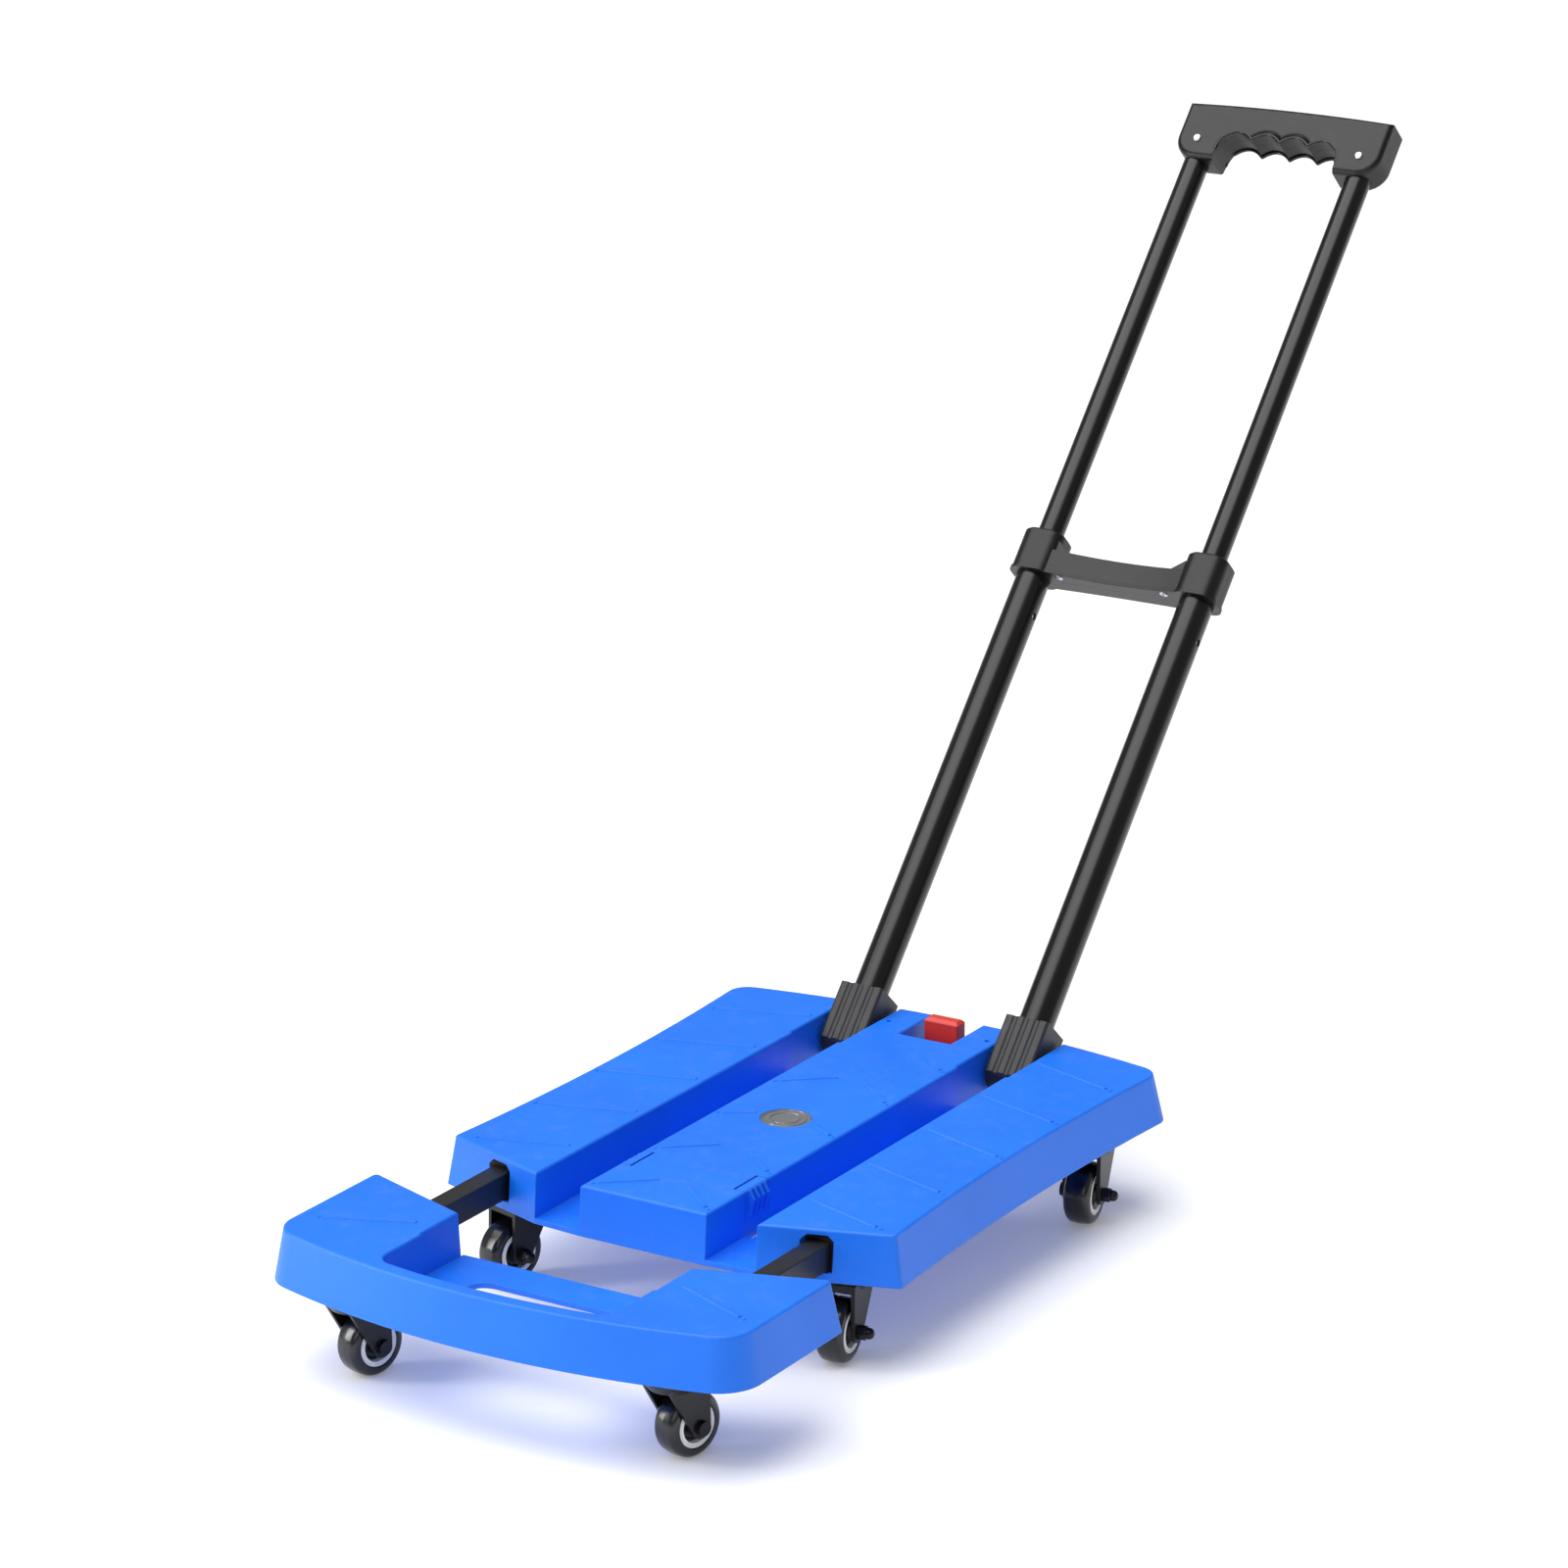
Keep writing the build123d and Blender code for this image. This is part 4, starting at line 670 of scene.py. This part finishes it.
@dataclass
class TreadMarks:
    """Shallow ridges moulded on the load faces, each with a pin mark at its end."""

    width: float = 0.0042
    height: float = 0.0009
    pitch: float = 0.0853
    side_x: float = 0.1415
    side_length: float = 0.078
    side_turn: float = math.radians(17.5)
    centre_x: float = 0.0300
    centre_length: float = 0.046
    centre_turn: float = math.radians(40.0)
    short_x: float = 0.0370
    short_length: float = 0.026
    short_turn: float = math.radians(30.0)
    shift: float = -0.0083
    extension_x: float = 0.1480
    extension_behind: float = 0.0865
    extension_length: float = 0.070
    extension_turn: float = math.radians(22.7)

    def tree(self) -> GeometryTree:
        """Builds the ridge tree: a tapered bar and a round pin mark at every point."""
        made = GeometryTree("tread_ridges", {
            "Width": ("Float", self.width), "Height": ("Float", self.height),
            "Dot Radius": ("Float", self.width * 0.4)})
        length = made.attribute("length", "FLOAT")
        turn = made.vector(z=made.attribute("turn", "FLOAT"))
        bar = made.add("GeometryNodeMeshCube")
        made.feed(bar, Size=made.vector(1.0, made.given("Width"),
                                        made.maths("MULTIPLY", made.given("Height"), 2.0)))
        here = made.add("GeometryNodeInputPosition").outputs[0]
        high = made.feed(made.add("ShaderNodeSeparateXYZ"), Vector=here).outputs["Z"]
        taper = made.add("ShaderNodeVectorMath", operation="MULTIPLY")
        made.tree.links.new(here, taper.inputs[0])
        taper.inputs[1].default_value = (0.985, 0.62, 1.0)
        shaped = made.feed(made.add("GeometryNodeSetPosition"), Geometry=bar.outputs["Mesh"],
                           Selection=made.maths("GREATER_THAN", high, 0.0),
                           Position=taper.outputs[0])
        bars = made.feed(made.add("GeometryNodeInstanceOnPoints"), Points=made.given("Geometry"),
                         Instance=shaped.outputs[0], Rotation=turn,
                         Scale=made.vector(length, 1.0, 1.0))
        dots = self._dots(made, length, turn)
        both = made.add("GeometryNodeJoinGeometry")
        made.tree.links.new(bars.outputs[0], both.inputs[0])
        made.tree.links.new(dots, both.inputs[0])
        made.close(both.outputs[0], smooth=False)
        return made

    def _dots(self, made: GeometryTree, length: bpy.types.NodeSocket,
              turn: bpy.types.NodeSocket) -> bpy.types.NodeSocket:
        """Adds the round mark just past the outer end of every ridge.

        Args:
            made: The tree.
            length: Each ridge's length.
            turn: Each ridge's rotation.

        Returns:
            The socket of the placed marks.
        """
        disc = made.feed(made.add("GeometryNodeMeshCylinder"), Vertices=16,
                         Radius=made.given("Dot Radius"), Depth=made.given("Height"))
        side = made.attribute("side", "FLOAT")
        reach = made.maths("MULTIPLY", side, made.maths("ADD", made.maths("MULTIPLY", length, 0.5), 0.004))
        move = made.add("ShaderNodeVectorRotate", rotation_type="EULER_XYZ")
        made.tree.links.new(made.vector(reach, 0.0, 0.0), move.inputs["Vector"])
        made.tree.links.new(turn, move.inputs["Rotation"])
        ends = made.feed(made.add("GeometryNodeSetPosition"), Geometry=made.given("Geometry"),
                         Offset=move.outputs[0])
        spots = made.feed(made.add("GeometryNodeInstanceOnPoints"), Points=ends.outputs[0],
                          Instance=disc.outputs["Mesh"])
        return spots.outputs[0]

    def deck_rows(self) -> list[tuple[float, float, float, float]]:
        """Every deck ridge as x, y from the deck's middle, length and turn."""
        rows = []
        for step in range(-2, 3):
            y = self.shift + step * self.pitch
            length = self.side_length - (0.008 if step == -2 else 0.0)
            for side in (-1, 1):
                rows.append((side * self.side_x, y, length, -side * self.side_turn))
                if step == 0:
                    rows.append((side * self.short_x, y - 0.033, self.short_length,
                                 -side * self.short_turn))
                elif step < 2 or side > 0:
                    rows.append((side * self.centre_x, y - 0.028, self.centre_length,
                                 -side * self.centre_turn))
        return rows

    def build(self, shop: PaintShop) -> None:
        """Lays the ridges on the deck and on the extension."""
        tree = self.tree()
        low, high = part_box("main_deck")
        middle = (low.y + high.y) / 2
        rows = [(x, middle + y, length, turn) for x, y, length, turn in self.deck_rows()]
        self._lay(tree, shop, "deck_tread_marks", rows, high.z, "deck")
        low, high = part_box("extension_panel")
        rows = [(side * self.extension_x, low.y + self.extension_behind, self.extension_length,
                 -side * self.extension_turn) for side in (-1, 1)]
        self._lay(tree, shop, "extension_tread_marks", rows, high.z, "extension")

    def _lay(self, tree: GeometryTree, shop: PaintShop, name: str,
             rows: list[tuple[float, float, float, float]], top: float, body: str) -> None:
        """Runs the tree for one body.

        Args:
            tree: The ridge tree.
            shop: The materials.
            name: The piece's name.
            rows: Every ridge's x, y, length and turn.
            top: The height of the face that they stand on.
            body: The body that they move with.
        """
        base = point_mesh(name + "_points", [Vector((x, y, top)) for x, y, _, _ in rows],
                          length=[row[2] for row in rows], turn=[row[3] for row in rows],
                          side=[math.copysign(1.0, row[0]) for row in rows])
        mesh = tree.run(name, base, {
            "Width": self.width, "Height": self.height, "Dot Radius": self.width * 0.4,
            "Material": shop.by_slot["blue_plastic"]})
        place_piece(name, mesh, body)


# ---------------------------------------------------------------- fasteners


@dataclass
class CrossHeadScrews:
    """Pan-head screws with a cross recess, on every face that the CAD screws hold."""

    head_radius: float = 0.0035
    head_height: float = 0.0022
    shank_radius: float = 0.0019
    shank_length: float = 0.0068
    slot_width: float = 0.0009
    plate_holes: tuple[float, float] = (0.018, 0.022)

    def tree(self) -> GeometryTree:
        """Builds the screw tree: a domed head with a cross cut in it and a shank."""
        made = GeometryTree("cross_head_screws", {
            "Head Radius": ("Float", self.head_radius), "Head Height": ("Float", self.head_height),
            "Shank Radius": ("Float", self.shank_radius), "Shank Length": ("Float", self.shank_length),
            "Slot Width": ("Float", self.slot_width), "Turn": ("Vector", (0.0, 0.0, 0.0))})
        radius, height = made.given("Head Radius"), made.given("Head Height")
        head = made.feed(made.add("GeometryNodeMeshCylinder", fill_type="TRIANGLE_FAN"), Vertices=32,
                         Side_Segments=1, Fill_Segments=5, Radius=radius, Depth=height)
        here = made.add("GeometryNodeInputPosition").outputs[0]
        parts = made.feed(made.add("ShaderNodeSeparateXYZ"), Vector=here)
        square = made.maths("ADD", made.maths("MULTIPLY", parts.outputs["X"], parts.outputs["X"]),
                            made.maths("MULTIPLY", parts.outputs["Y"], parts.outputs["Y"]))
        share = made.maths("DIVIDE", square, made.maths("MULTIPLY", radius, radius))
        fall = made.maths("MULTIPLY", made.maths("MULTIPLY", share, height), -0.6)
        dome = made.feed(made.add("GeometryNodeSetPosition"), Geometry=head.outputs["Mesh"],
                         Selection=made.maths("GREATER_THAN", parts.outputs["Z"], 0.0),
                         Offset=made.vector(0.0, 0.0, fall))
        cut = made.add("GeometryNodeMeshBoolean", operation="DIFFERENCE", solver="EXACT")
        made.tree.links.new(dome.outputs[0], cut.inputs["Mesh 1"])
        for across in (True, False):
            made.tree.links.new(self._slot(made, across), cut.inputs["Mesh 2"])
        shank = made.feed(made.add("GeometryNodeMeshCylinder"), Vertices=20,
                          Radius=made.given("Shank Radius"), Depth=made.given("Shank Length"))
        sink = made.maths("MULTIPLY", made.maths("ADD", made.given("Shank Length"), height), -0.5)
        low = made.feed(made.add("GeometryNodeTransform"), Geometry=shank.outputs["Mesh"],
                        Translation=made.vector(0.0, 0.0, sink))
        one = made.add("GeometryNodeJoinGeometry")
        made.tree.links.new(cut.outputs["Mesh"], one.inputs[0])
        made.tree.links.new(low.outputs[0], one.inputs[0])
        all_of_them = made.feed(made.add("GeometryNodeInstanceOnPoints"),
                                Points=made.given("Geometry"), Instance=one.outputs[0],
                                Rotation=made.given("Turn"))
        made.close(all_of_them.outputs[0], smooth=False)
        return made

    def _slot(self, made: GeometryTree, across: bool) -> bpy.types.NodeSocket:
        """One bar of the cross recess, sunk in the top of the head.

        Args:
            made: The tree.
            across: Whether the bar runs along X.

        Returns:
            The bar's socket.
        """
        long = made.maths("MULTIPLY", made.given("Head Radius"), 1.15)
        wide = made.given("Slot Width")
        size = made.vector(long, wide, made.given("Head Height")) if across else made.vector(
            wide, long, made.given("Head Height"))
        bar = made.feed(made.add("GeometryNodeMeshCube"), Size=size)
        lift = made.maths("MULTIPLY", made.given("Head Height"), 0.45)
        moved = made.feed(made.add("GeometryNodeTransform"), Geometry=bar.outputs["Mesh"],
                          Translation=made.vector(0.0, 0.0, lift))
        return moved.outputs[0]

    def build(self, frame: dict, shop: PaintShop, axes: HandleAxes) -> None:
        """Places every visible screw.

        Args:
            frame: The loaded frame.
            shop: The materials.
            axes: The handle's leaning frame.
        """
        tree = self.tree()
        down = (math.pi, 0.0, 0.0)
        pin_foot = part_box("main_caster_screws")[0].z
        head_z = pin_foot + self.head_height / 2
        LOG.info("caster screw heads at %.4f", head_z)
        groups = {"main_caster_screws": ("deck", CASTERS[2:]),
                  "extension_caster_screws": ("extension", CASTERS[:2])}
        for node, (body, names) in groups.items():
            points = []
            for name in names:
                x, y, _ = joint_named(frame, "swivel_" + name)["pos_m"]
                points += [Vector((x + sx * self.plate_holes[0], y + sy * self.plate_holes[1], head_z))
                           for sx in (-1, 1) for sy in (-1, 1)]
            self._place(tree, shop, "crossed_" + node, points, down, body, node, "black_zinc")
        low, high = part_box("tube_screws")
        points = [Vector((x, (low.y + high.y) / 2, low.z + self.head_height / 2))
                  for x in (low.x + self.head_radius, high.x - self.head_radius)]
        self._place(tree, shop, "crossed_tube_screws", points, down, "extension", "tube_screws",
                    "black_zinc")
        node = frame["nodes"]["brace_screws"]
        foot = axes.span(node, axes.along)[0]
        inner, outer = axes.span(node, axes.outward)
        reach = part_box("brace_screws")[1].x - 0.0032
        points = [axes.place(side * reach, (inner + outer) / 2, foot + self.head_height / 2)
                  for side in (-1, 1)]
        lean = math.atan2(axes.along.y, axes.along.z)
        self._place(tree, shop, "crossed_brace_screws", points, (math.pi - lean, 0.0, 0.0),
                    "handle_lower", "brace_screws", "steel")

    def _place(self, tree: GeometryTree, shop: PaintShop, name: str, points: list[Vector],
               turn: tuple[float, float, float], body: str, node: str, slot: str) -> None:
        """Runs the tree for one group of screws.

        Args:
            tree: The screw tree.
            shop: The materials.
            name: The piece's name.
            points: The middles of the heads.
            turn: The rotation that points the heads' tops.
            body: The body that they move with.
            node: The CAD node that they stand for.
            slot: The record's material slot.
        """
        mesh = tree.run(name, point_mesh(name + "_points", points), {
            "Turn": turn, "Material": shop.by_slot[slot]})
        place_piece(name, mesh, body, [node])


# ---------------------------------------------------------------- wheels


@dataclass
class CasterWheel:
    """A wheel's tyre, its white double-ringed rim and the near-black discs inside the rim that paint the
    shade of the hub's recess.
    """

    radius: float
    half_width: float
    rim_radius: float = 0.0170
    bore: float = 0.0031
    crown: float = 0.0004
    shoulder: float = 0.0052
    segments: int = 96

    def tyre_profile(self) -> list[tuple[float, float]]:
        """The tyre's section as points of distance along the axle and radius."""
        half, rim, tread = self.half_width, self.rim_radius, self.radius - self.crown
        points = [(-half + 0.0008, rim - 0.0003), (-half + 0.0002, rim + 0.0006),
                  (-half, rim + 0.0014), (-half + 0.0003, tread - self.shoulder)]
        steps = 7
        for i in range(1, steps + 1):
            angle = math.radians(90.0 * i / steps)
            points.append((-half + 0.0003 + self.shoulder * (1 - math.cos(angle)),
                           tread - self.shoulder * (1 - math.sin(angle))))
        points.append((-0.0004, self.radius))
        return points + [(-along, radius) for along, radius in reversed(points)]

    def rim_profile(self) -> list[tuple[float, float]]:
        """The white rim's section: two round beads with a groove between them."""
        half, rim = self.half_width - 0.0004, self.rim_radius
        left = []
        for middle, bead in ((rim - 0.0011, 0.0010), (rim - 0.0033, 0.0009)):
            for i in range(7):
                angle = math.radians(180.0 * i / 6)
                left.append((-half + bead - bead * math.sin(angle), middle + bead * math.cos(angle)))
        left.append((-half + 0.0050, rim - 0.0046))
        left.append((-0.0020, rim - 0.0050))
        left = [(-half + 0.0010, rim)] + left
        return left + [(-along, radius) for along, radius in reversed(left)]

    def shade_disc_profile(self) -> list[tuple[float, float]]:
        """The section of the dark disc that paints the shade in the hub's recess, dished from the rim in to
        the boss at the axle.
        """
        half, rim = self.half_width, self.rim_radius
        left = [(-0.0016, rim - 0.0048), (-half + 0.0046, rim - 0.0048), (-half + 0.0042, rim - 0.0060),
                (-half + 0.0052, rim - 0.0070), (-half + 0.0050, rim - 0.0092),
                (-half + 0.0012, rim - 0.0098), (-half - 0.0006, rim - 0.0106), (-half - 0.0006, self.bore)]
        return left + [(-along, radius) for along, radius in reversed(left)]

    def spin(self, name: str, profile: list[tuple[float, float]], centre: Vector,
             axle: Vector, material: bpy.types.Material, closed: bool = True) -> bpy.types.Mesh:
        """Turns a closed section about the axle.

        Args:
            name: The mesh's name.
            profile: The section, as distances along the axle and radii.
            centre: The wheel's centre.
            axle: The axle's unit direction.
            material: The piece's material.
            closed: Whether the last point is joined to the first.

        Returns:
            The mesh.
        """
        up = Vector((0.0, 0.0, 1.0))
        across = axle.cross(up)
        shape = bmesh.new()
        rings = []
        for step in range(self.segments):
            angle = 2 * math.pi * step / self.segments
            spoke = up * math.cos(angle) + across * math.sin(angle)
            rings.append([shape.verts.new(centre + axle * along + spoke * radius)
                          for along, radius in profile])
        count = len(profile)
        for step, ring in enumerate(rings):
            following = rings[(step + 1) % self.segments]
            for i in range(count if closed else count - 1):
                j = (i + 1) % count
                shape.faces.new((ring[i], ring[j], following[j], following[i]))
        bmesh.ops.recalc_face_normals(shape, faces=shape.faces)
        for face in shape.faces:
            face.smooth = True
        mesh = bpy.data.meshes.new(name)
        shape.to_mesh(mesh)
        shape.free()
        mesh.materials.append(material)
        mesh.set_sharp_from_angle(angle=math.radians(40.0))
        return mesh

    def build(self, name: str, frame: dict, shop: PaintShop) -> None:
        """Builds the wheel of one caster.

        Args:
            name: The caster's name.
            frame: The loaded frame.
            shop: The materials.
        """
        joint = joint_named(frame, "roll_" + name)
        centre, axle = Vector(joint["pos_m"]), Vector(joint["axis"]).normalized()
        body = "wheel_" + name
        tyre = self.spin("tread_" + name, self.tyre_profile(), centre, axle, shop.by_slot["tyre_rubber"])
        place_piece("tread_" + name, tyre, body, ["tyre_" + name])
        rim = self.spin("rim_" + name, self.rim_profile(), centre, axle, shop.by_slot["hub_plastic"])
        piece = place_piece("rim_" + name, rim, body, ["hub_" + name])
        # The dark disc inside the rim paints the shade in the hub's recess.
        shade_disc = self.spin("hub_recess_shade_" + name, self.shade_disc_profile(), centre, axle, shop.recess_shade)
        place_piece("hub_recess_shade_" + name, shade_disc, body, ["hub_" + name])
        LOG.info("wheel %s done round %s", name, piece.name)


# ---------------------------------------------------------------- grip detail


@dataclass
class FingerRims:
    """Smooth raised rims that follow the finger hollows on both faces of the grip."""

    tube_radius: float = 0.0016
    ear_x: float = 0.057
    hollow_s: float = 0.867
    cusp_depth: float = 0.0065
    pitch: float = 0.0264
    hollows: int = 4
    foot_above: float = 0.010
    proud: float = 0.0004

    def path(self, foot: float) -> list[tuple[float, float]]:
        """The rim's line as x across and distance along the poles, left to right."""
        cusp = self.hollow_s - self.cusp_depth
        reach = self.hollows * self.pitch / 2
        start = foot + self.foot_above
        points = []
        steps = 8
        for i in range(steps):
            share = i / steps
            points.append((-self.ear_x + (self.ear_x - reach) * share ** 2,
                           start + (cusp - start) * math.sin(share * math.pi / 2)))
        per_hollow = 10
        for i in range(self.hollows * per_hollow + 1):
            share = (i % per_hollow) / per_hollow
            rise = math.sin(math.pi * share) ** 0.8 if share else 0.0
            points.append((-reach + i * self.pitch / per_hollow, cusp + self.cusp_depth * rise))
        return points + [(-x, s) for x, s in reversed(points[:steps])]

    def tree(self) -> GeometryTree:
        """Builds the rim tree: a round bead along every line of the base mesh."""
        made = GeometryTree("finger_rims", {"Tube Radius": ("Float", self.tube_radius),
                                            "Step": ("Float", 0.0012)})
        line = made.feed(made.add("GeometryNodeMeshToCurve"), Mesh=made.given("Geometry"))
        even = made.add("GeometryNodeResampleCurve")
        if hasattr(even, "mode"):
            even.mode = "LENGTH"
        made.feed(even, Curve=line.outputs[0], Length=made.given("Step"))
        ring = made.feed(made.add("GeometryNodeCurvePrimitiveCircle"), Resolution=14,
                         Radius=made.given("Tube Radius"))
        bead = made.feed(made.add("GeometryNodeCurveToMesh"), Curve=even.outputs[0],
                         Profile_Curve=ring.outputs["Curve"], Fill_Caps=True)
        made.close(bead.outputs[0], smooth=True)
        return made

    def build(self, frame: dict, shop: PaintShop, axes: HandleAxes) -> None:
        """Lays one rim on the front of the grip and one on its back."""
        foot = axes.span(frame["nodes"]["grip_front"], axes.along)[0]
        front = axes.span(frame["nodes"]["grip_front"], axes.outward)[0]
        back = axes.span(frame["nodes"]["grip_back"], axes.outward)[1]
        points, edges = [], []
        for out in (front + self.tube_radius - self.proud, back - self.tube_radius + self.proud):
            first = len(points)
            points += [axes.place(x, out, s) for x, s in self.path(foot)]
            edges += [(i, i + 1) for i in range(first, len(points) - 1)]
        base = point_mesh("finger_rim_lines", points, edges)
        mesh = self.tree().run("finger_rims", base, {
            "Tube Radius": self.tube_radius, "Material": shop.by_slot["black_paint"]})
        place_piece("finger_rims", mesh, "handle_upper")


# ---------------------------------------------------------------- studio


@dataclass(frozen=True)
class SoftBox:
    """One soft rectangular light: its place, aim, size and power."""

    name: str
    place: tuple[float, float, float]
    aim: tuple[float, float, float]
    size: tuple[float, float]
    power: float
    colour: tuple[float, float, float] = (1.0, 1.0, 1.0)

    def build(self) -> None:
        """Adds the light to the scene."""
        data = bpy.data.lights.new(self.name, "AREA")
        data.shape = "RECTANGLE"
        data.size, data.size_y = self.size
        data.energy = self.power
        data.color = self.colour
        lamp = bpy.data.objects.new(self.name, data)
        bpy.context.collection.objects.link(lamp)
        lamp.location = self.place
        direction = Vector(self.aim) - Vector(self.place)
        lamp.rotation_euler = direction.to_track_quat("-Z", "Y").to_euler()
        LOG.info("light %s", self.name)


SOFT_BOXES = (
    SoftBox("overhead_box", (-0.3, -0.2, 2.6), (0.0, 0.0, 0.1), (2.6, 2.6), 22.0),
    SoftBox("front_box", (1.0, -3.2, 1.5), (0.0, 0.0, 0.2), (2.4, 1.4), 12.0),
    SoftBox("left_strip", (-1.5, -1.5, 0.75), (0.0, 0.1, 0.30), (0.35, 1.1), 16.0),
)


@dataclass(frozen=True)
class SoftSun:
    """A wide, even light from one direction: where it comes from, its strength and its spread."""

    name: str
    towards: tuple[float, float, float]
    strength: float
    spread: float

    def build(self) -> None:
        """Adds the light to the scene."""
        data = bpy.data.lights.new(self.name, "SUN")
        data.energy, data.angle = self.strength, self.spread
        lamp = bpy.data.objects.new(self.name, data)
        bpy.context.collection.objects.link(lamp)
        lamp.rotation_euler = Vector(self.towards).to_track_quat("Z", "Y").to_euler()
        LOG.info("light %s", self.name)


SKYLIGHT = SoftSun("soft_skylight", (-0.25, -0.20, 1.0), 2.3, math.radians(70.0))


@dataclass
class Studio:
    """A pale floor, soft light and the camera."""

    floor_half: float = 20.0
    floor_colour: tuple[float, float, float] = (0.90, 0.90, 0.905)
    camera_place: tuple[float, float, float] = (2.1394, -3.6465, 1.6440)
    camera_aim: tuple[float, float, float] = (-0.0382, -0.1465, 0.3554)
    camera_roll: float = math.radians(-0.1)
    lens: float = 129.6
    sensor: float = 36.0
    seen_white: float = 1.0
    ambient: float = 0.28
    floor_glow: float = 0.16

    def build(self) -> None:
        """Builds the whole studio."""
        self._floor()
        self._world()
        for box in SOFT_BOXES:
            box.build()
        SKYLIGHT.build()
        self._camera()
        bpy.context.scene.view_settings.view_transform = "Standard"

    def _floor(self) -> None:
        """Lays the floor that the cart stands on."""
        half = self.floor_half
        mesh = bpy.data.meshes.new("studio_floor")
        mesh.from_pydata([(-half, -half, 0), (half, -half, 0), (half, half, 0), (-half, half, 0)],
                         [], [(0, 1, 2, 3)])
        material = bpy.data.materials.new("studio_floor_paper")
        material.use_nodes = True
        shader = material.node_tree.nodes["Principled BSDF"]
        shader.inputs["Base Color"].default_value = (*self.floor_colour, 1.0)
        shader.inputs["Roughness"].default_value = 0.9
        shader.inputs["Specular IOR Level"].default_value = 0.1
        shader.inputs["Emission Color"].default_value = (1.0, 1.0, 1.0, 1.0)
        shader.inputs["Emission Strength"].default_value = self.floor_glow
        mesh.materials.append(material)
        floor = bpy.data.objects.new("studio_floor", mesh)
        bpy.context.collection.objects.link(floor)

    def _world(self) -> None:
        """Lights the scene evenly, and shows plain white past the floor."""
        world = bpy.data.worlds.new("studio_world")
        bpy.context.scene.world = world
        world.use_nodes = True
        world.node_tree.nodes.clear()
        writer = ShaderWriter(world.node_tree)
        glow = writer.add("Background", Strength=self.ambient)
        glow.inputs["Color"].default_value = (0.98, 0.99, 1.0, 1.0)
        white = writer.add("Background", Strength=self.seen_white)
        white.inputs["Color"].default_value = (1.0, 1.0, 1.0, 1.0)
        choose = writer.add("MixShader")
        writer.link(writer.add("LightPath").outputs["Is Camera Ray"], choose.inputs[0])
        writer.link(glow.outputs[0], choose.inputs[1])
        writer.link(white.outputs[0], choose.inputs[2])
        writer.link(choose.outputs[0], writer.add("OutputWorld").inputs["Surface"])

    def _camera(self) -> None:
        """Sets the camera."""
        data = bpy.data.cameras.new("studio_camera")
        data.lens, data.sensor_width = self.lens, self.sensor
        data.clip_end = 60.0
        camera = bpy.data.objects.new("studio_camera", data)
        bpy.context.collection.objects.link(camera)
        camera.location = self.camera_place
        direction = Vector(self.camera_aim) - Vector(self.camera_place)
        turn = direction.to_track_quat("-Z", "Y").to_matrix() @ Matrix.Rotation(self.camera_roll, 3, "Z")
        camera.rotation_euler = turn.to_euler()
        bpy.context.scene.camera = camera


def tyre_half_width(tyre: bpy.types.Object, centre: Vector, axle: Vector) -> float:
    """Measures half a tyre's width along its axle.

    Args:
        tyre: The tyre's CAD node.
        centre: The middle of the tyre.
        axle: The direction of the axle, of length one.

    Returns:
        The farthest that the tyre reaches from its middle along the axle.
    """
    corners = (tyre.matrix_world @ vertex.co for vertex in tyre.data.vertices)
    return max(abs((corner - centre).dot(axle)) for corner in corners)


def main() -> None:
    """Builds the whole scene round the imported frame."""
    logging.basicConfig(level=logging.INFO, format="%(name)s: %(message)s")
    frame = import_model()
    shop = PaintShop()
    shop.dress_frame(frame)
    axes = HandleAxes(Vector(joint_named(frame, "handle_fold")["pos_m"]),
                      Vector(joint_named(frame, "pole_telescope")["axis"]).normalized())
    TreadMarks().build(shop)
    CrossHeadScrews().build(frame, shop, axes)
    for name in CASTERS:
        low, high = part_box("tyre_" + name)
        axle = Vector(joint_named(frame, "roll_" + name)["axis"]).normalized()
        half = tyre_half_width(frame["nodes"]["tyre_" + name], (low + high) / 2, axle)
        LOG.info("tyre %s is %.4f across its half width", name, half)
        CasterWheel((high.z - low.z) / 2, half).build(name, frame, shop)
    FingerRims().build(frame, shop, axes)
    Studio().build()


if __name__ == "__main__":
    main()
